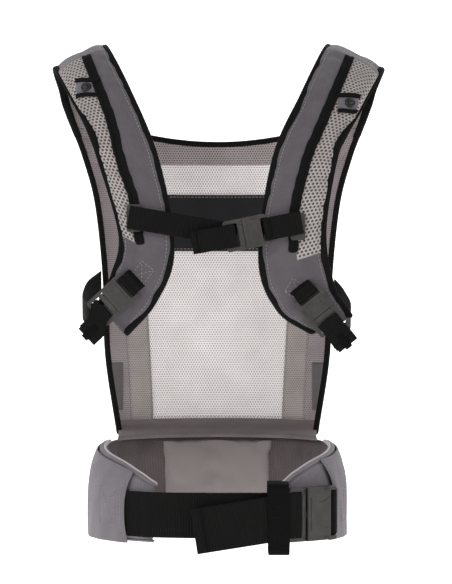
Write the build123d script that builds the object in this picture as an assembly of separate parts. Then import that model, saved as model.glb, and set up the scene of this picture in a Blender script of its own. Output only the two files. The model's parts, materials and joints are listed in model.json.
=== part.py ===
from build123d import *
from math import sqrt
import os

# Soft baby carrier, worn and buckled. Millimetres.
# +X is to the right as seen from behind the wearer, +Y points to the wearer's front,
# where the body panel is, and +Z is up. The origin is the centre of the waist belt's
# ring, at the level of its lowest webbing.

# Waist belt
belt_half_x = 144.0        # outside of the belt at its hem, side to side
belt_half_y = 118.0        # outside of the belt at its hem, front to back
belt_lean = 9.0            # how far the belt leans in from hem to rim
belt_hem = 13.0            # height of the hem
belt_rim = 123.0           # height of the rim in front
belt_rim_back = 78.0       # height of the rim at the back ends
belt_end_left = -belt_half_x / 2             # padded ends, either side of the open back
belt_end_right = belt_half_x - 76
belt_cover_thick = 2.0
belt_foam_thick = 8.5
belt_lining_thick = 1.5
piping_high = 4.0

# Body panel
panel_low_x, panel_low_y = belt_half_x + 6, belt_half_y - 8        # half widths of the panel's
panel_high_x, panel_high_y = belt_half_x + 34, belt_half_y + 2     # curve, low and high
panel_top = 480.0
panel_dip = 11.0           # how far the top edge dips in the middle
panel_thick = 2.5
panel_side = [(118, 0), (132, 91), (135, 182), (144, 269), (159, 322)]     # out, and up from the rim
top_binding_high = 7.0
side_binding_wide = 4.0
gusset_wide = 26.0
band_half_wide = 72.0
band_low, band_high = 338.0, 405.0
label_half_wide = 62.0
label_low, label_high = 47.0, 116.0

# Shoulder straps, drawn at the height they have with the panel's top at strap_datum.
# strap_line is the side view of the middle of the padding, front to back over the shoulder.
strap_datum = 480.0
strap_line = [(95, 445), (75, 505), (5, 567), (-60, 515), (-95, 445), (-110, 375), (-113, 305), (-108, 235)]
strap_back = -113.0        # the furthest back of strap_line
strap_slope = 0.45         # how steeply the straps fall outwards over the shoulder
strap_middle = 135.0       # distance out from the middle at which strap_line holds
strap_cover_thick = 2.5
strap_foam_thick = 8.0
strap_lining_thick = 1.5
strap_binding_wide = 3.0
shoulder_y = 5.0           # where the back half and the front half of a strap meet
rail_wide = 3.2
rail_proud = 2.5
snap_stud_radius = 3.0
snap_stud_high = 3.0
snap_cap_radius = 6.0
snap_cap_high = 1.4
tab_wide, tab_high = 27.0, 22.0

# Webbing and buckles
webbing_thick = 1.5
narrow = {"webbing": 25.0, "thick": 8.0, "female": 27.0, "base": 6.4, "slot": 4.5, "bar": 3.2,
          "wall": 2.0, "barb": 6.0, "plate": 4.5}
wide = {"webbing": 50.0, "thick": 11.0, "female": 42.0, "base": 6.5, "slot": 5.0, "bar": 3.5,
        "wall": 2.5, "barb": 9.0, "plate": 5.5}
buckle_margin = 4.5        # plastic either side of the webbing
buckle_skin = 1.5          # top and bottom wall of a female buckle
seam_gap = 0.4             # gap between the two halves of a closed buckle
fit_gap = 0.2              # clearance of prong roots and of webbing round its bars
root_radius = 1.8          # rounded root of each prong
root_depth = 2.9
arm_wide = 2.4
bar_thick = 3.2
clear_gap = 0.3            # clearance between things that pass each other
roll_long, roll_wide, roll_thick = 27.0, 27.0, 13.0
loop_left, loop_right = belt_half_x - 88, belt_half_x - 65        # elastic safety loop
loop_thick = 1.6
flap_margin = 6.0          # how far a belt flap reaches above and below the webbing
flap_thick = 1.6

strap_out = (strap_cover_thick + strap_foam_thick + strap_lining_thick) / 2
shoulder_buckle_y = strap_back - strap_out - 5
chest_buckle_y = strap_back - strap_out - 6.5

# Edges of each strap's back half and of its rail, out from the middle and up
straps = {
    "left": {
        "sign": -1,
        "inner": [(146, 600), (98, 517), (64, 434), (47, 335), (66, 279), (99, 240)],
        "outer": [(205, 600), (150, 481), (131, 435), (107, 352), (115, 309), (130, 277)],
        "rail": [(154, 563), (121, 481), (109, 435), (92, 382), (87, 338)],
        "snap": (144, 513),
        "slider": (90, 369),
        "buckle": Plane(origin=(-115.3, shoulder_buckle_y, 278.3), x_dir=(-0.731, 0, -0.682), z_dir=(0, -1, 0)),
        "roll_aside": 9.0,
        "side_drop": 0.0,
        "side_rise": 12.0,
    },
    "right": {
        "sign": 1,
        "inner": [(136, 600), (92, 506), (61, 434), (46, 325), (66, 269), (104, 242)],
        "outer": [(216, 600), (147, 468), (132, 435), (119, 355), (128, 297), (149, 262)],
        "rail": [(155, 560), (116, 468), (102, 435), (88, 378), (87, 332)],
        "snap": (146, 495),
        "slider": (88, 360),
        "buckle": Plane(origin=(114.1, shoulder_buckle_y, 266), x_dir=(0.629, 0, -0.777), z_dir=(0, -1, 0)),
        "roll_aside": 0.0,
        "side_drop": 10.5,
        "side_rise": 17.0,
    },
}
yoke_inner = [(136, 600), (126, 560), (110, 515), (98, strap_datum)]
yoke_outer = [(184, 600), (183, 560), (180, 515), (168, strap_datum)]
chest_buckle = Plane(origin=(30, chest_buckle_y, 352.5), x_dir=(-0.981, 0, -0.194), z_dir=(0, -1, 0))
waist_buckle = Plane(origin=(belt_half_x - 47.4, 20.3 - belt_half_y, 44.5), x_dir=(-0.79, -0.61, 0),
                     z_dir=(0.61, -0.79, 0))

reach_all = 700.0          # longer than the carrier, for cutting shapes


def block(x0, x1, y0, y1, z0, z1):
    """Box between two corners."""
    middle = Pos((x0 + x1) / 2, (y0 + y1) / 2, (z0 + z1) / 2)
    return middle * Box(x1 - x0, y1 - y0, z1 - z0)


def between(plane, one, two):
    """Face between two smooth lines, drawn on a plane."""
    edges = [Spline(*one), Line(one[-1], two[-1]), Spline(*two[::-1]), Line(two[0], one[0])]
    return (plane * make_face(edges)).faces()[0]


def sideways(points, distance):
    """A line's points moved to its left, or to its right when the distance is negative."""
    moved = []
    for i, (a, b) in enumerate(points):
        a0, b0 = points[max(i - 1, 0)]
        a1, b1 = points[min(i + 1, len(points) - 1)]
        run = sqrt((a1 - a0) ** 2 + (b1 - b0) ** 2)
        moved.append((a - (b1 - b0) / run * distance, b + (a1 - a0) / run * distance))
    return moved


def ribbon(points, low, high):
    """Upright webbing along a line in plan, between two heights."""
    half = webbing_thick / 2
    face = between(Plane.XY.offset(low), sideways(points, half), sideways(points, -half))
    return Solid.extrude(face, Vector(0, 0, high - low))


def tipped(shape, point, about_x=0.0, about_y=0.0):
    """A shape turned about a point."""
    there = Pos(*point)
    return there * Rot(about_x, about_y, 0) * there.inverse() * shape


def seen_from_behind(one, two):
    """Prism right through the carrier between two lines drawn on its front view."""
    face = between(Plane.XZ, one, two)
    return extrude(face, reach_all / 2, both=True)


def one_solid(shape):
    """Drops specks: the largest solid of a shape."""
    return max(shape.solids(), key=lambda solid: solid.volume)


# ---- Waist belt ----

def belt_wall(outside, inside, lean=belt_lean, low=belt_hem, high=belt_rim):
    """Elliptical wall between two distances in from the belt's outer face."""
    shells = []
    for inset in (outside, inside):
        foot = Plane.XY.offset(low) * Ellipse(belt_half_x - inset, belt_half_y - inset)
        head = Plane.XY.offset(high) * Ellipse(belt_half_x - lean - inset, belt_half_y - lean - inset)
        shells.append(loft([foot, head]))
    return shells[0] - shells[1]


def belt_side(low, drop_low, drop_high):
    """Prism of the belt's side view, up to a line that far below the rim."""
    back = -belt_half_y - 10
    step = belt_rim - belt_rim_back
    rim = [(back, belt_rim_back - 4), (14 - belt_half_y, belt_rim_back), (-90, belt_rim_back + 0.28 * step),
           (-64, belt_rim_back + 0.56 * step), (0, belt_rim_back + 0.82 * step),
           (60, belt_rim - 1), (-back, belt_rim)]
    top = [(y, z - drop_high) for y, z in rim]
    if low is None:
        bottom = [(y, z - drop_low) for y, z in rim]
    else:
        bottom = [(y, low) for y, z in rim]
    return extrude(between(Plane.YZ, top, bottom), reach_all / 2, both=True)


open_back = block(belt_end_left, belt_end_right, -reach_all, 0, -reach_all, reach_all)
loop_box = (-belt_half_y - 9.5, 43.2 - belt_half_y, 1.8, 80.5)    # the loop's back, front, bottom, top
squeezed = block(belt_end_right - 1, loop_right + 4, -belt_half_y, 0,
                 loop_box[3] - loop_thick - clear_gap, belt_rim)
padding = belt_side(belt_hem, 0, piping_high) - open_back - squeezed
foam_in = belt_cover_thick + belt_foam_thick
belt_thick = foam_in + belt_lining_thick
parts = {
    "belt_cover": belt_wall(0, belt_cover_thick) & padding,
    "belt_foam": belt_wall(belt_cover_thick, foam_in) & padding,
    "belt_lining": belt_wall(foam_in, belt_thick) & padding,
}
rim_strip = belt_side(None, piping_high, 0) - open_back - squeezed
parts["belt_piping"] = belt_wall(-1, belt_thick / 2) & rim_strip

flap_gap = webbing_thick + 1.1
flap_wall = belt_wall(-flap_gap - flap_thick, -flap_gap, lean=0)
waist_low = waist_buckle.origin.Z - wide["webbing"] / 2
waist_high = waist_low + wide["webbing"]
flap_heights = (waist_low - flap_margin, waist_high + flap_margin)
parts["belt_flap_left"] = flap_wall & block(2 - belt_half_x, 44 - belt_half_x, -90, -15, *flap_heights)
parts["belt_flap_right"] = flap_wall & block(belt_half_x - 17, belt_half_x + 6, -44, -8, *flap_heights)


def belt_at_x(x, gap):
    """Point of the belt's back outline in plan, a little outside it."""
    return (x, -(belt_half_y + gap) * sqrt(1 - (x / (belt_half_x + gap)) ** 2))


def belt_at_y(y, gap):
    """Point of the belt's right-hand outline in plan, a little outside it."""
    return ((belt_half_x + gap) * sqrt(1 - (y / (belt_half_y + gap)) ** 2), y)


on_belt = (20, 32, 46, 60, 72)               # in from the belt's side
long_line = [belt_at_x(x - belt_half_x, 1.1) for x in on_belt]
off_belt = [(164, 6), (104, 5.8), (69.3, 10.4), (59.6, 17.7)]     # in from its right side and from its back
long_line += [(belt_half_x - x, y - belt_half_y) for x, y in off_belt]
parts["waist_webbing_long"] = ribbon(long_line, waist_low, waist_high)

label_wall = belt_wall(belt_thick + clear_gap, belt_thick + clear_gap + 0.8)
parts["care_label"] = label_wall & block(-label_half_wide, label_half_wide, 0, reach_all,
                                         label_low, label_high)

loop_out = block(loop_left, loop_right, *loop_box)
loop_in = block(loop_left - 1, loop_right + 1, loop_box[0] + loop_thick, loop_box[1] - loop_thick,
                loop_box[2] + loop_thick, loop_box[3] - loop_thick)
parts["waist_safety_loop"] = fillet(loop_out.edges().filter_by(Axis.X), 5) \
    - fillet(loop_in.edges().filter_by(Axis.X), 5 - loop_thick)


# ---- Body panel ----

def panel_wall(outside, inside):
    """Wall of the panel's curve between two distances in from its outer face."""
    shells = []
    for inset in (outside, inside):
        foot = Plane.XY.offset(belt_rim) * Ellipse(panel_low_x - inset, panel_low_y - inset)
        head = Plane.XY.offset(panel_top) * Ellipse(panel_high_x - inset, panel_high_y - inset)
        shells.append(loft([foot, head]))
    return (shells[0] - shells[1]) & block(-reach_all, reach_all, 0, reach_all, 0, reach_all)


def panel_outline(side_in, top_in):
    """Prism of the panel's front view, drawn in from its sides and from its top edge."""
    side = [(x - side_in, belt_rim + z) for x, z in panel_side]
    corner = (panel_side[-1][0] + 11 - side_in, panel_top)
    right = Spline(*side, corner)
    left = mirror(right, about=Plane.YZ)
    shoulder = yoke_inner[-1][0]
    dip = ThreePointArc((shoulder, panel_top - top_in), (0, panel_top - panel_dip - top_in),
                        (-shoulder, panel_top - top_in))
    edges = [right, left, dip, Line(side[0], (-side[0][0], belt_rim))]
    for sign in (1, -1):
        inner_end = (sign * shoulder, panel_top - top_in)
        step = (sign * shoulder, panel_top)
        edges.append(Line((sign * corner[0], panel_top), step))
        if top_in:
            edges.append(Line(step, inner_end))
    face = (Plane.XZ * make_face(edges)).faces()[0]
    return extrude(face, reach_all / 2, both=True)


whole_panel = panel_outline(0, 0)
inside_panel = panel_outline(side_binding_wide, top_binding_high)
below_binding = panel_outline(0, top_binding_high)
parts["body_panel"] = panel_wall(0, panel_thick) & inside_panel
parts["panel_edge_bindings"] = panel_wall(-0.8, panel_thick + 0.8) & (below_binding - inside_panel)
parts["panel_top_binding"] = panel_wall(-0.8, panel_thick + 0.8) & (whole_panel - below_binding)
gusset_outer = [(panel_side[0][0] - 14, belt_rim + 25), (112, 300), (118, 420), (121, 455)]
gusset_inner = [(x - gusset_wide, z) for x, z in gusset_outer]
gusset = panel_wall(panel_thick, panel_thick + 0.7) & seen_from_behind(gusset_inner, gusset_outer)
parts["panel_gussets"] = gusset + mirror(gusset, about=Plane.YZ)
band_box = block(-band_half_wide, band_half_wide, 0, reach_all, band_low, band_high)
parts["neck_band"] = panel_wall(panel_thick, panel_thick + 0.7) & band_box


# ---- Shoulder straps ----

strap_curve = Spline(*strap_line)
strap_samples = [strap_curve @ (i / 20) for i in range(21)]
strap_points = [(p.X, p.Y) for p in strap_samples]


def strap_band(sign, low, high):
    """Layer of a strap's side view between two distances out from its middle, full width."""
    start = 20.0
    face = between(Plane.YZ, sideways(strap_points, -low), sideways(strap_points, -high))
    lift = strap_slope * (strap_middle - start)
    placed = Pos(sign * start, 0, lift) * face
    run = 220.0
    return Solid.extrude(placed, Vector(sign * run, 0, -strap_slope * run))


def strap_prism(sign, inner, outer, edge_in=0.0):
    """Prism of a strap's front view, drawn in from its two edges."""
    one = [(sign * (x + edge_in), z) for x, z in inner]
    two = [(sign * (x - edge_in), z) for x, z in outer]
    return seen_from_behind(one, two)


def strap_frame(sign, x, z, out):
    """Plane on a strap's back half: outward normal, local Y up along the strap."""
    level = z + strap_slope * (x - strap_middle)
    best = min(range(400, 1000), key=lambda i: abs((strap_curve @ (i / 1000)).Y - level))
    point = strap_curve @ (best / 1000)
    along = strap_curve % (best / 1000)
    up = Vector(0, -along.X, -along.Y)
    across = Vector(sign, 0, -strap_slope)
    normal = up.cross(across).normalized()
    if normal.Y > 0:
        normal = -normal
    middle = Vector(sign * x, point.X, z)
    return Plane(origin=middle + normal * out, x_dir=up.cross(normal), z_dir=normal)


back_half = block(-reach_all, reach_all, -reach_all, shoulder_y, 0, reach_all)
front_half = block(-reach_all, reach_all, shoulder_y, reach_all, strap_datum, reach_all)
slider_half_wide, slider_half_high, slider_thick = 8.0, 15.0, 2.6


def make_strap(name, strap):
    """One padded strap with its trim, from the panel's corner to the buckle behind."""
    sign = strap["sign"]
    whole = strap_prism(sign, strap["inner"], strap["outer"])
    middle = strap_prism(sign, strap["inner"], strap["outer"], strap_binding_wide)
    rim = (whole - middle) & back_half
    layers = {"lining": (-strap_out, -strap_out + strap_lining_thick),
              "foam": (-strap_out + strap_lining_thick, strap_out - strap_cover_thick),
              "cover": (strap_out - strap_cover_thick, strap_out)}
    for layer, (low, high) in layers.items():
        parts[f"strap_{layer}_{name}"] = strap_band(sign, low, high) & middle & back_half
    parts[f"strap_bindings_{name}"] = strap_band(sign, -strap_out, strap_out) & rim
    yoke = strap_prism(sign, yoke_inner, yoke_outer)
    parts[f"strap_yoke_{name}"] = strap_band(sign, -strap_out, strap_out) & yoke & front_half
    rail_in = [(x - rail_wide / 2, z) for x, z in strap["rail"]]
    rail_out = [(x + rail_wide / 2, z) for x, z in strap["rail"]]
    rail_band = strap_band(sign, strap_out, strap_out + rail_proud)
    rail = rail_band & strap_prism(sign, rail_in, rail_out)
    parts[f"strap_rail_{name}"] = one_solid(rail & back_half)

    x, z = strap["snap"]
    tab_edges = [[(x + side * tab_wide / 2, z + up * tab_high / 2) for up in (-1, 0, 1)]
                 for side in (-1, 1)]
    tab = strap_band(sign, strap_out, strap_out + webbing_thick) & strap_prism(sign, *tab_edges)
    parts[f"snap_tab_{name}"] = one_solid((tab & back_half) - parts[f"strap_rail_{name}"])
    seat = strap_frame(sign, x, z, strap_out + 1.7)
    stud = Pos(0, 0, snap_cap_high / 2) * Cylinder(snap_cap_radius, snap_cap_high)
    stud += Pos(0, 0, snap_cap_high + snap_stud_high / 2) * Cylinder(snap_stud_radius, snap_stud_high)
    parts[f"snap_stud_{name}"] = seat.location * stud


for name, strap in straps.items():
    make_strap(name, strap)


# ---- Side-release buckles: local X is the way the male half pulls out, Z faces outward ----

def half_width(size):
    return size["webbing"] / 2 + buckle_margin


def prong_reach(size):
    """How far each prong reaches into the female half."""
    return size["female"] - size["bar"] - size["slot"] - 3.5


def ladder_bar(size):
    """Start and end of the male half's middle bar."""
    start = size["base"] + size["slot"]
    return (start, start + size["bar"])


def buckle_female(size):
    """Socket with side windows for the prongs' barbs, and a bar for its webbing."""
    half, thick, long = half_width(size), size["thick"], size["female"]
    slot_half = size["webbing"] / 2 + 0.5
    body = block(-long, 0, -half, half, -thick / 2, thick / 2)
    body = fillet(body.edges().filter_by(Axis.Z).group_by(Axis.X)[0], 4)
    bar_end = -long + size["bar"]
    slot_end = bar_end + size["slot"]
    wall, inside = half - size["wall"], thick / 2 - buckle_skin
    body -= block(slot_end + 2, 1, -wall, wall, -inside, inside)
    body -= block(bar_end, slot_end, -slot_half, slot_half, -thick, thick)
    for face in (-1, 1):
        depths = sorted((face * bar_thick / 2, face * thick))
        body -= block(-long - 1, bar_end, -slot_half, slot_half, *depths)
        reach = prong_reach(size)
        sides = sorted((face * (wall - 1), face * (half + 1)))
        body -= block(-reach - 0.9, -reach + size["barb"] + 0.9, *sides, -inside, inside)
    return body


def buckle_male(size):
    """Ladder for the webbing, a base with the prongs' recesses, and a guiding tongue."""
    half, plate = half_width(size), size["plate"] / 2
    slot_half = size["webbing"] / 2 + 0.5
    bar_start, bar_end = ladder_bar(size)
    long = bar_end + size["slot"] + size["bar"] - 0.2
    body = block(seam_gap, long, -half, half, -plate, plate)
    body = fillet(body.edges().filter_by(Axis.Z).group_by(Axis.X)[-1], 3)
    for start in (size["base"], bar_end):
        body -= block(start, start + size["slot"], -slot_half, slot_half, -plate - 1, plate + 1)
    for face in (-1, 1):
        depths = sorted((face * bar_thick / 2, face * plate * 2))
        body -= block(bar_start - 1, bar_end + 1, -slot_half, slot_half, *depths)
        root_y = face * (half - 5)
        body -= Pos(root_depth, root_y, 0) * Cylinder(root_radius + fit_gap, size["plate"] + 1)
        mouth = arm_wide / 2 + 0.6
        body -= block(0, root_depth, root_y - mouth, root_y + mouth, -plate - 1, plate + 1)
    tongue_end = -prong_reach(size) + 1
    inside = size["thick"] / 2 - buckle_skin - clear_gap
    return body + block(tongue_end, seam_gap + 1, -3, 3, -inside, inside)


def buckle_prong(size, hand):
    """Springy side arm with a rounded root and a barb; hand is 1 or -1."""
    half = half_width(size)
    deep = min(size["plate"] / 2, size["thick"] / 2 - buckle_skin - clear_gap)
    root_y = half - 5
    reach = prong_reach(size)
    arm = Pos(root_depth, root_y, 0) * Cylinder(root_radius, 2 * deep)
    arm += block(-reach, root_depth, root_y - arm_wide / 2, root_y + arm_wide / 2, -deep, deep)
    arm += block(-reach, -reach + size["barb"], root_y, half - 0.4, -deep, deep)
    return arm if hand > 0 else mirror(arm, about=Plane.XZ)


def webbing_ring(size, start, end):
    """Webbing folded round a bar that lies between two places along the buckle."""
    half = size["webbing"] / 2
    low = bar_thick / 2 + fit_gap
    high = low + webbing_thick
    around = block(start - fit_gap - webbing_thick, end + fit_gap + webbing_thick, -half, half, -high, high)
    return around - block(start - fit_gap, end + fit_gap, -half - 1, half + 1, -low, low)


def set_buckle(name, size, plane):
    """Both halves of one buckle and its prongs, in place."""
    at = plane.location
    parts[f"{name}_buckle_female"] = at * buckle_female(size)
    parts[f"{name}_buckle_male"] = at * buckle_male(size)
    parts[f"{name}_prong_a"] = at * buckle_prong(size, 1)
    parts[f"{name}_prong_b"] = at * buckle_prong(size, -1)


def ring_round_female(size, plane):
    return plane.location * webbing_ring(size, -size["female"], -size["female"] + size["bar"])


def ring_round_ladder(size, plane):
    return plane.location * webbing_ring(size, *ladder_bar(size))


def over_ladder(size, plane):
    """Start of a webbing tail, lying over the outer bar of the ladder."""
    start, end = ladder_bar(size)
    over = end + size["slot"] + size["bar"] + 2
    low = bar_thick / 2 + fit_gap + webbing_thick
    half = size["webbing"] / 2
    return plane.location * block(start - fit_gap - webbing_thick, over, -half, half, low, low + webbing_thick)


# ---- Waist buckle's webbing ----

set_buckle("waist", wide, waist_buckle)
female_end = waist_buckle.location * Pos(-wide["female"] - 1, 0, 0)
short_line = [(female_end.position.X, female_end.position.Y), (belt_half_x - 10.9, -57)]
short_line += [belt_at_y(-44, 1.4), belt_at_y(-28, 1.3), belt_at_y(-10, 1.2)]
parts["waist_webbing_short"] = ring_round_female(wide, waist_buckle) \
    + ribbon(short_line, waist_low, waist_high)
off_belt = [(65.6, 0.6), (78, -4), (99, -5.8), (134, -6.3), (170, -5)]
tail_line = [(belt_half_x - x, y - belt_half_y) for x, y in off_belt]
tail = tipped(ribbon(tail_line, waist_low, waist_high), (*tail_line[0], waist_buckle.origin.Z), about_y=-9)
parts["waist_webbing_tail"] = ring_round_ladder(wide, waist_buckle) + over_ladder(wide, waist_buckle) + tail


# ---- Chest strap ----

set_buckle("chest", narrow, chest_buckle)


def chest_slider(strap):
    """Slider lying over a strap's rail, with a slot for the chest webbing."""
    x, z = strap["slider"]
    seat = strap_frame(strap["sign"], x, z, strap_out + rail_proud + clear_gap)
    plate = block(-slider_half_wide, slider_half_wide, -slider_half_high, slider_half_high, 0, slider_thick)
    plate = fillet(plate.edges().filter_by(Axis.Z), 3)
    return seat, seat.location * plate


chest_width = narrow["webbing"]
for name, strap in straps.items():
    seat, slider = chest_slider(strap)
    parts[f"chest_slider_{name}"] = slider
    front = seat.location * Pos(0, 0, slider_thick + webbing_thick / 2)
    strap["slider_front"] = front.position

at_left, at_right = straps["left"]["slider_front"], straps["right"]["slider_front"]
over_slider = 1.5          # room for the sliders' lean
long_left = (at_left.X, at_left.Y - over_slider)
long_line = [long_left, (at_left.X + 12, long_left[1]), (-40, chest_buckle_y + 3.1),
             (24, chest_buckle_y + 6.8)]
long_ribbon = ribbon(long_line, at_left.Z - chest_width / 2, at_left.Z + chest_width / 2)
parts["chest_webbing_long"] = tipped(long_ribbon, (*long_left, at_left.Z), about_y=9.5)
chest_end = (chest_buckle.location * Pos(-narrow["female"] - 1, 0, 0)).position
right_y = at_right.Y - over_slider
short_line = [(chest_end.X, chest_end.Y), (70, chest_buckle_y - 0.5), (at_right.X - 8, right_y),
              (at_right.X, right_y)]
short_ribbon = ribbon(short_line, chest_end.Z - chest_width / 2, chest_end.Z + chest_width / 2)
parts["chest_webbing_short"] = tipped(short_ribbon, (chest_end.X, chest_end.Y, chest_end.Z), about_y=-11.2) \
    + ring_round_female(narrow, chest_buckle)
tail_y, tail_z = chest_buckle_y - 4.1, chest_buckle.origin.Z - 4
tail_line = [(10, tail_y), (2, tail_y - 0.8), (-12, tail_y - 1.4), (-27, tail_y - 0.4)]
tail = ribbon(tail_line, tail_z - chest_width / 2, tail_z + chest_width / 2)
parts["chest_webbing_tail"] = ring_round_ladder(narrow, chest_buckle) \
    + over_ladder(narrow, chest_buckle) + tipped(tail, (10, tail_y, tail_z), about_y=-10)


# ---- Buckles below the straps and the webbing back to the panel ----

for name, strap in straps.items():
    sign = strap["sign"]
    plane = strap["buckle"]
    set_buckle(f"shoulder_{name}", narrow, plane)
    half = narrow["webbing"] / 2
    patch = plane.location * block(-narrow["female"] - 24, -narrow["female"] - 1, -half, half, -40, 40)
    band = strap_band(sign, strap_out, strap_out + webbing_thick)
    parts[f"anchor_webbing_{name}"] = (band & patch & back_half) + ring_round_female(narrow, plane)
    ladder_end = ladder_bar(narrow)[1] + narrow["slot"] + narrow["bar"] + clear_gap
    roll = block(ladder_end, ladder_end + roll_long, strap["roll_aside"] - roll_wide / 2,
                 strap["roll_aside"] + roll_wide / 2, -roll_thick / 2, roll_thick / 2)
    roll = fillet(roll.edges().filter_by(Axis.Y), 5)
    parts[f"webbing_roll_{name}"] = plane.location * roll + ring_round_ladder(narrow, plane)
    end = (plane.location * Pos(ladder_end, 0, 0)).position
    out = abs(end.X)
    middle = end.Z - strap["side_drop"]
    start_y = shoulder_buckle_y + 8.8
    side_line = [(sign * out, start_y), (sign * (out + 10), start_y + 8.2), (sign * (out + 16), -84),
                 (sign * 150, -30), (sign * 146, 20), (sign * 137, 66)]
    side_ribbon = ribbon(side_line, middle - half, middle + half)
    pivot = (sign * out, start_y - 2.8, middle)
    parts[f"side_webbing_{name}"] = tipped(side_ribbon, pivot, about_x=strap["side_rise"])


# What hangs on the straps goes up and down with the panel's top
fixed = ("belt_", "waist_", "care_label", "body_panel", "panel_", "neck_band")
for name in parts:
    if not name.startswith(fixed):
        parts[name] = Pos(0, 0, panel_top - strap_datum) * parts[name]

os.makedirs("parts", exist_ok=True)
for name, shape in parts.items():
    export_step(shape if isinstance(shape, Solid) else Compound(children=shape.solids()), f"parts/{name}.step")
print(len(parts), "parts")
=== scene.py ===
import json
import math

import bmesh
import bpy
import numpy as np
from mathutils import Matrix, Vector
from mathutils.bvhtree import BVHTree


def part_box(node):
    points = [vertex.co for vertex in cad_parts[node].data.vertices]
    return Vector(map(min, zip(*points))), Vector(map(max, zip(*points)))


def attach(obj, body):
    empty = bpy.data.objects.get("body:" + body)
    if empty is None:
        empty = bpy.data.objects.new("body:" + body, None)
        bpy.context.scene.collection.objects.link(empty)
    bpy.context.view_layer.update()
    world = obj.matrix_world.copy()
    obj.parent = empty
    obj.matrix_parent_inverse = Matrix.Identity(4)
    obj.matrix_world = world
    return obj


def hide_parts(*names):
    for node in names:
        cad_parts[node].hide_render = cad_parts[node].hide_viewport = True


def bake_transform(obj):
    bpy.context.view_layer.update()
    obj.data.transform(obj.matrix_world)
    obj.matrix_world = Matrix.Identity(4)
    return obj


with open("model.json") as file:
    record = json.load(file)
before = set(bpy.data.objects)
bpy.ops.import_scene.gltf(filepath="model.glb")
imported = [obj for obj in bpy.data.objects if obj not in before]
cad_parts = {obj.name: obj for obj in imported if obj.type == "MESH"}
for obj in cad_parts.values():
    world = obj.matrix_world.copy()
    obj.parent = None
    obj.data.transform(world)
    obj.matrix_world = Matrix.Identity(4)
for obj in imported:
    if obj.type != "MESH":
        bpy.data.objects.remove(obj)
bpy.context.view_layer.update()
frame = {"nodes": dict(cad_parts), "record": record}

mm = 0.001


def toLinear(code):
    # sRGB hex to a linear colour
    parts = [int(code[i:i + 2], 16) / 255 for i in (1, 3, 5)]
    return tuple(c / 12.92 if c <= 0.04045 else ((c + 0.055) / 1.055) ** 2.4 for c in parts) + (1.0,)


def addNode(tree, kind, settings=None, links=None):
    # one node with its settings and what feeds it
    node = tree.nodes.new(kind)
    for key, value in (settings or {}).items():
        if isinstance(key, int) or key in node.inputs:
            node.inputs[key].default_value = value
        else:
            setattr(node, key, value)
    for key, source in (links or {}).items():
        tree.links.new(source, node.inputs[key])
    return node


def smoothLine(points, count):
    # Catmull-Rom through the points, evenly spaced along its length
    p = np.array(points, float)
    ends = np.vstack([2 * p[0] - p[1], p, 2 * p[-1] - p[-2]])
    fine = []
    for a, b, c, d in zip(ends[:-3], ends[1:-2], ends[2:-1], ends[3:]):
        for t in np.linspace(0, 1, 24, endpoint=False):
            fine.append(0.5 * (2 * b + (c - a) * t + (2 * a - 5 * b + 4 * c - d) * t ** 2
                               + (3 * b - a - 3 * c + d) * t ** 3))
    fine = np.array(fine + [p[-1]])
    run = np.r_[0, np.cumsum(np.linalg.norm(np.diff(fine, axis=0), axis=1))]
    at = np.linspace(0, run[-1], count)
    return np.stack([np.interp(at, run, fine[:, k]) for k in range(p.shape[1])], axis=1)


def unit(v):
    v = np.array(v, float)
    return v / np.maximum(np.linalg.norm(v, axis=-1, keepdims=True), 1e-12)


def alongLine(points):
    # direction of travel at each point of a line
    return unit(np.gradient(np.array(points, float), axis=0))


def distanceAlong(points):
    return np.r_[0, np.cumsum(np.linalg.norm(np.diff(points, axis=0), axis=1))]


def newPiece(name, verts, faces, uvs=None, materials=(), faceMaterial=None, smooth=True):
    # mesh piece in metres, with cloth coordinates in metres as its UV map
    mesh = bpy.data.meshes.new(name)
    mesh.from_pydata([tuple(v) for v in verts], [], faces)
    if uvs is not None:
        layer = mesh.uv_layers.new(name="cloth")
        for loop in mesh.loops:
            layer.data[loop.index].uv = tuple(uvs[loop.vertex_index])
    for material in materials:
        mesh.materials.append(material)
    if faceMaterial is not None:
        mesh.polygons.foreach_set("material_index", faceMaterial)
    mesh.polygons.foreach_set("use_smooth", [smooth] * len(mesh.polygons))
    mesh.update()
    piece = bpy.data.objects.new(name, mesh)
    bpy.context.scene.collection.objects.link(piece)
    return piece


def settle(piece, body, nodes=(), levels=0, bevel=0.0):
    # last modifiers made real, then the piece rides on its body and stands for its CAD nodes
    if bevel:
        modifier = piece.modifiers.new("edges", "BEVEL")
        modifier.width, modifier.segments, modifier.limit_method = bevel, 2, "ANGLE"
        modifier.angle_limit = math.radians(40)
    if levels:
        modifier = piece.modifiers.new("smoothing", "SUBSURF")
        modifier.levels = modifier.render_levels = levels
    bakeModifiers(piece)
    if body:
        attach(piece, body)
    if nodes:
        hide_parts(*nodes)
    return piece


def bakeModifiers(piece):
    if piece.modifiers:
        ready = piece.evaluated_get(bpy.context.evaluated_depsgraph_get())
        mesh = bpy.data.meshes.new_from_object(ready)
        piece.modifiers.clear()
        piece.data = mesh


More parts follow.
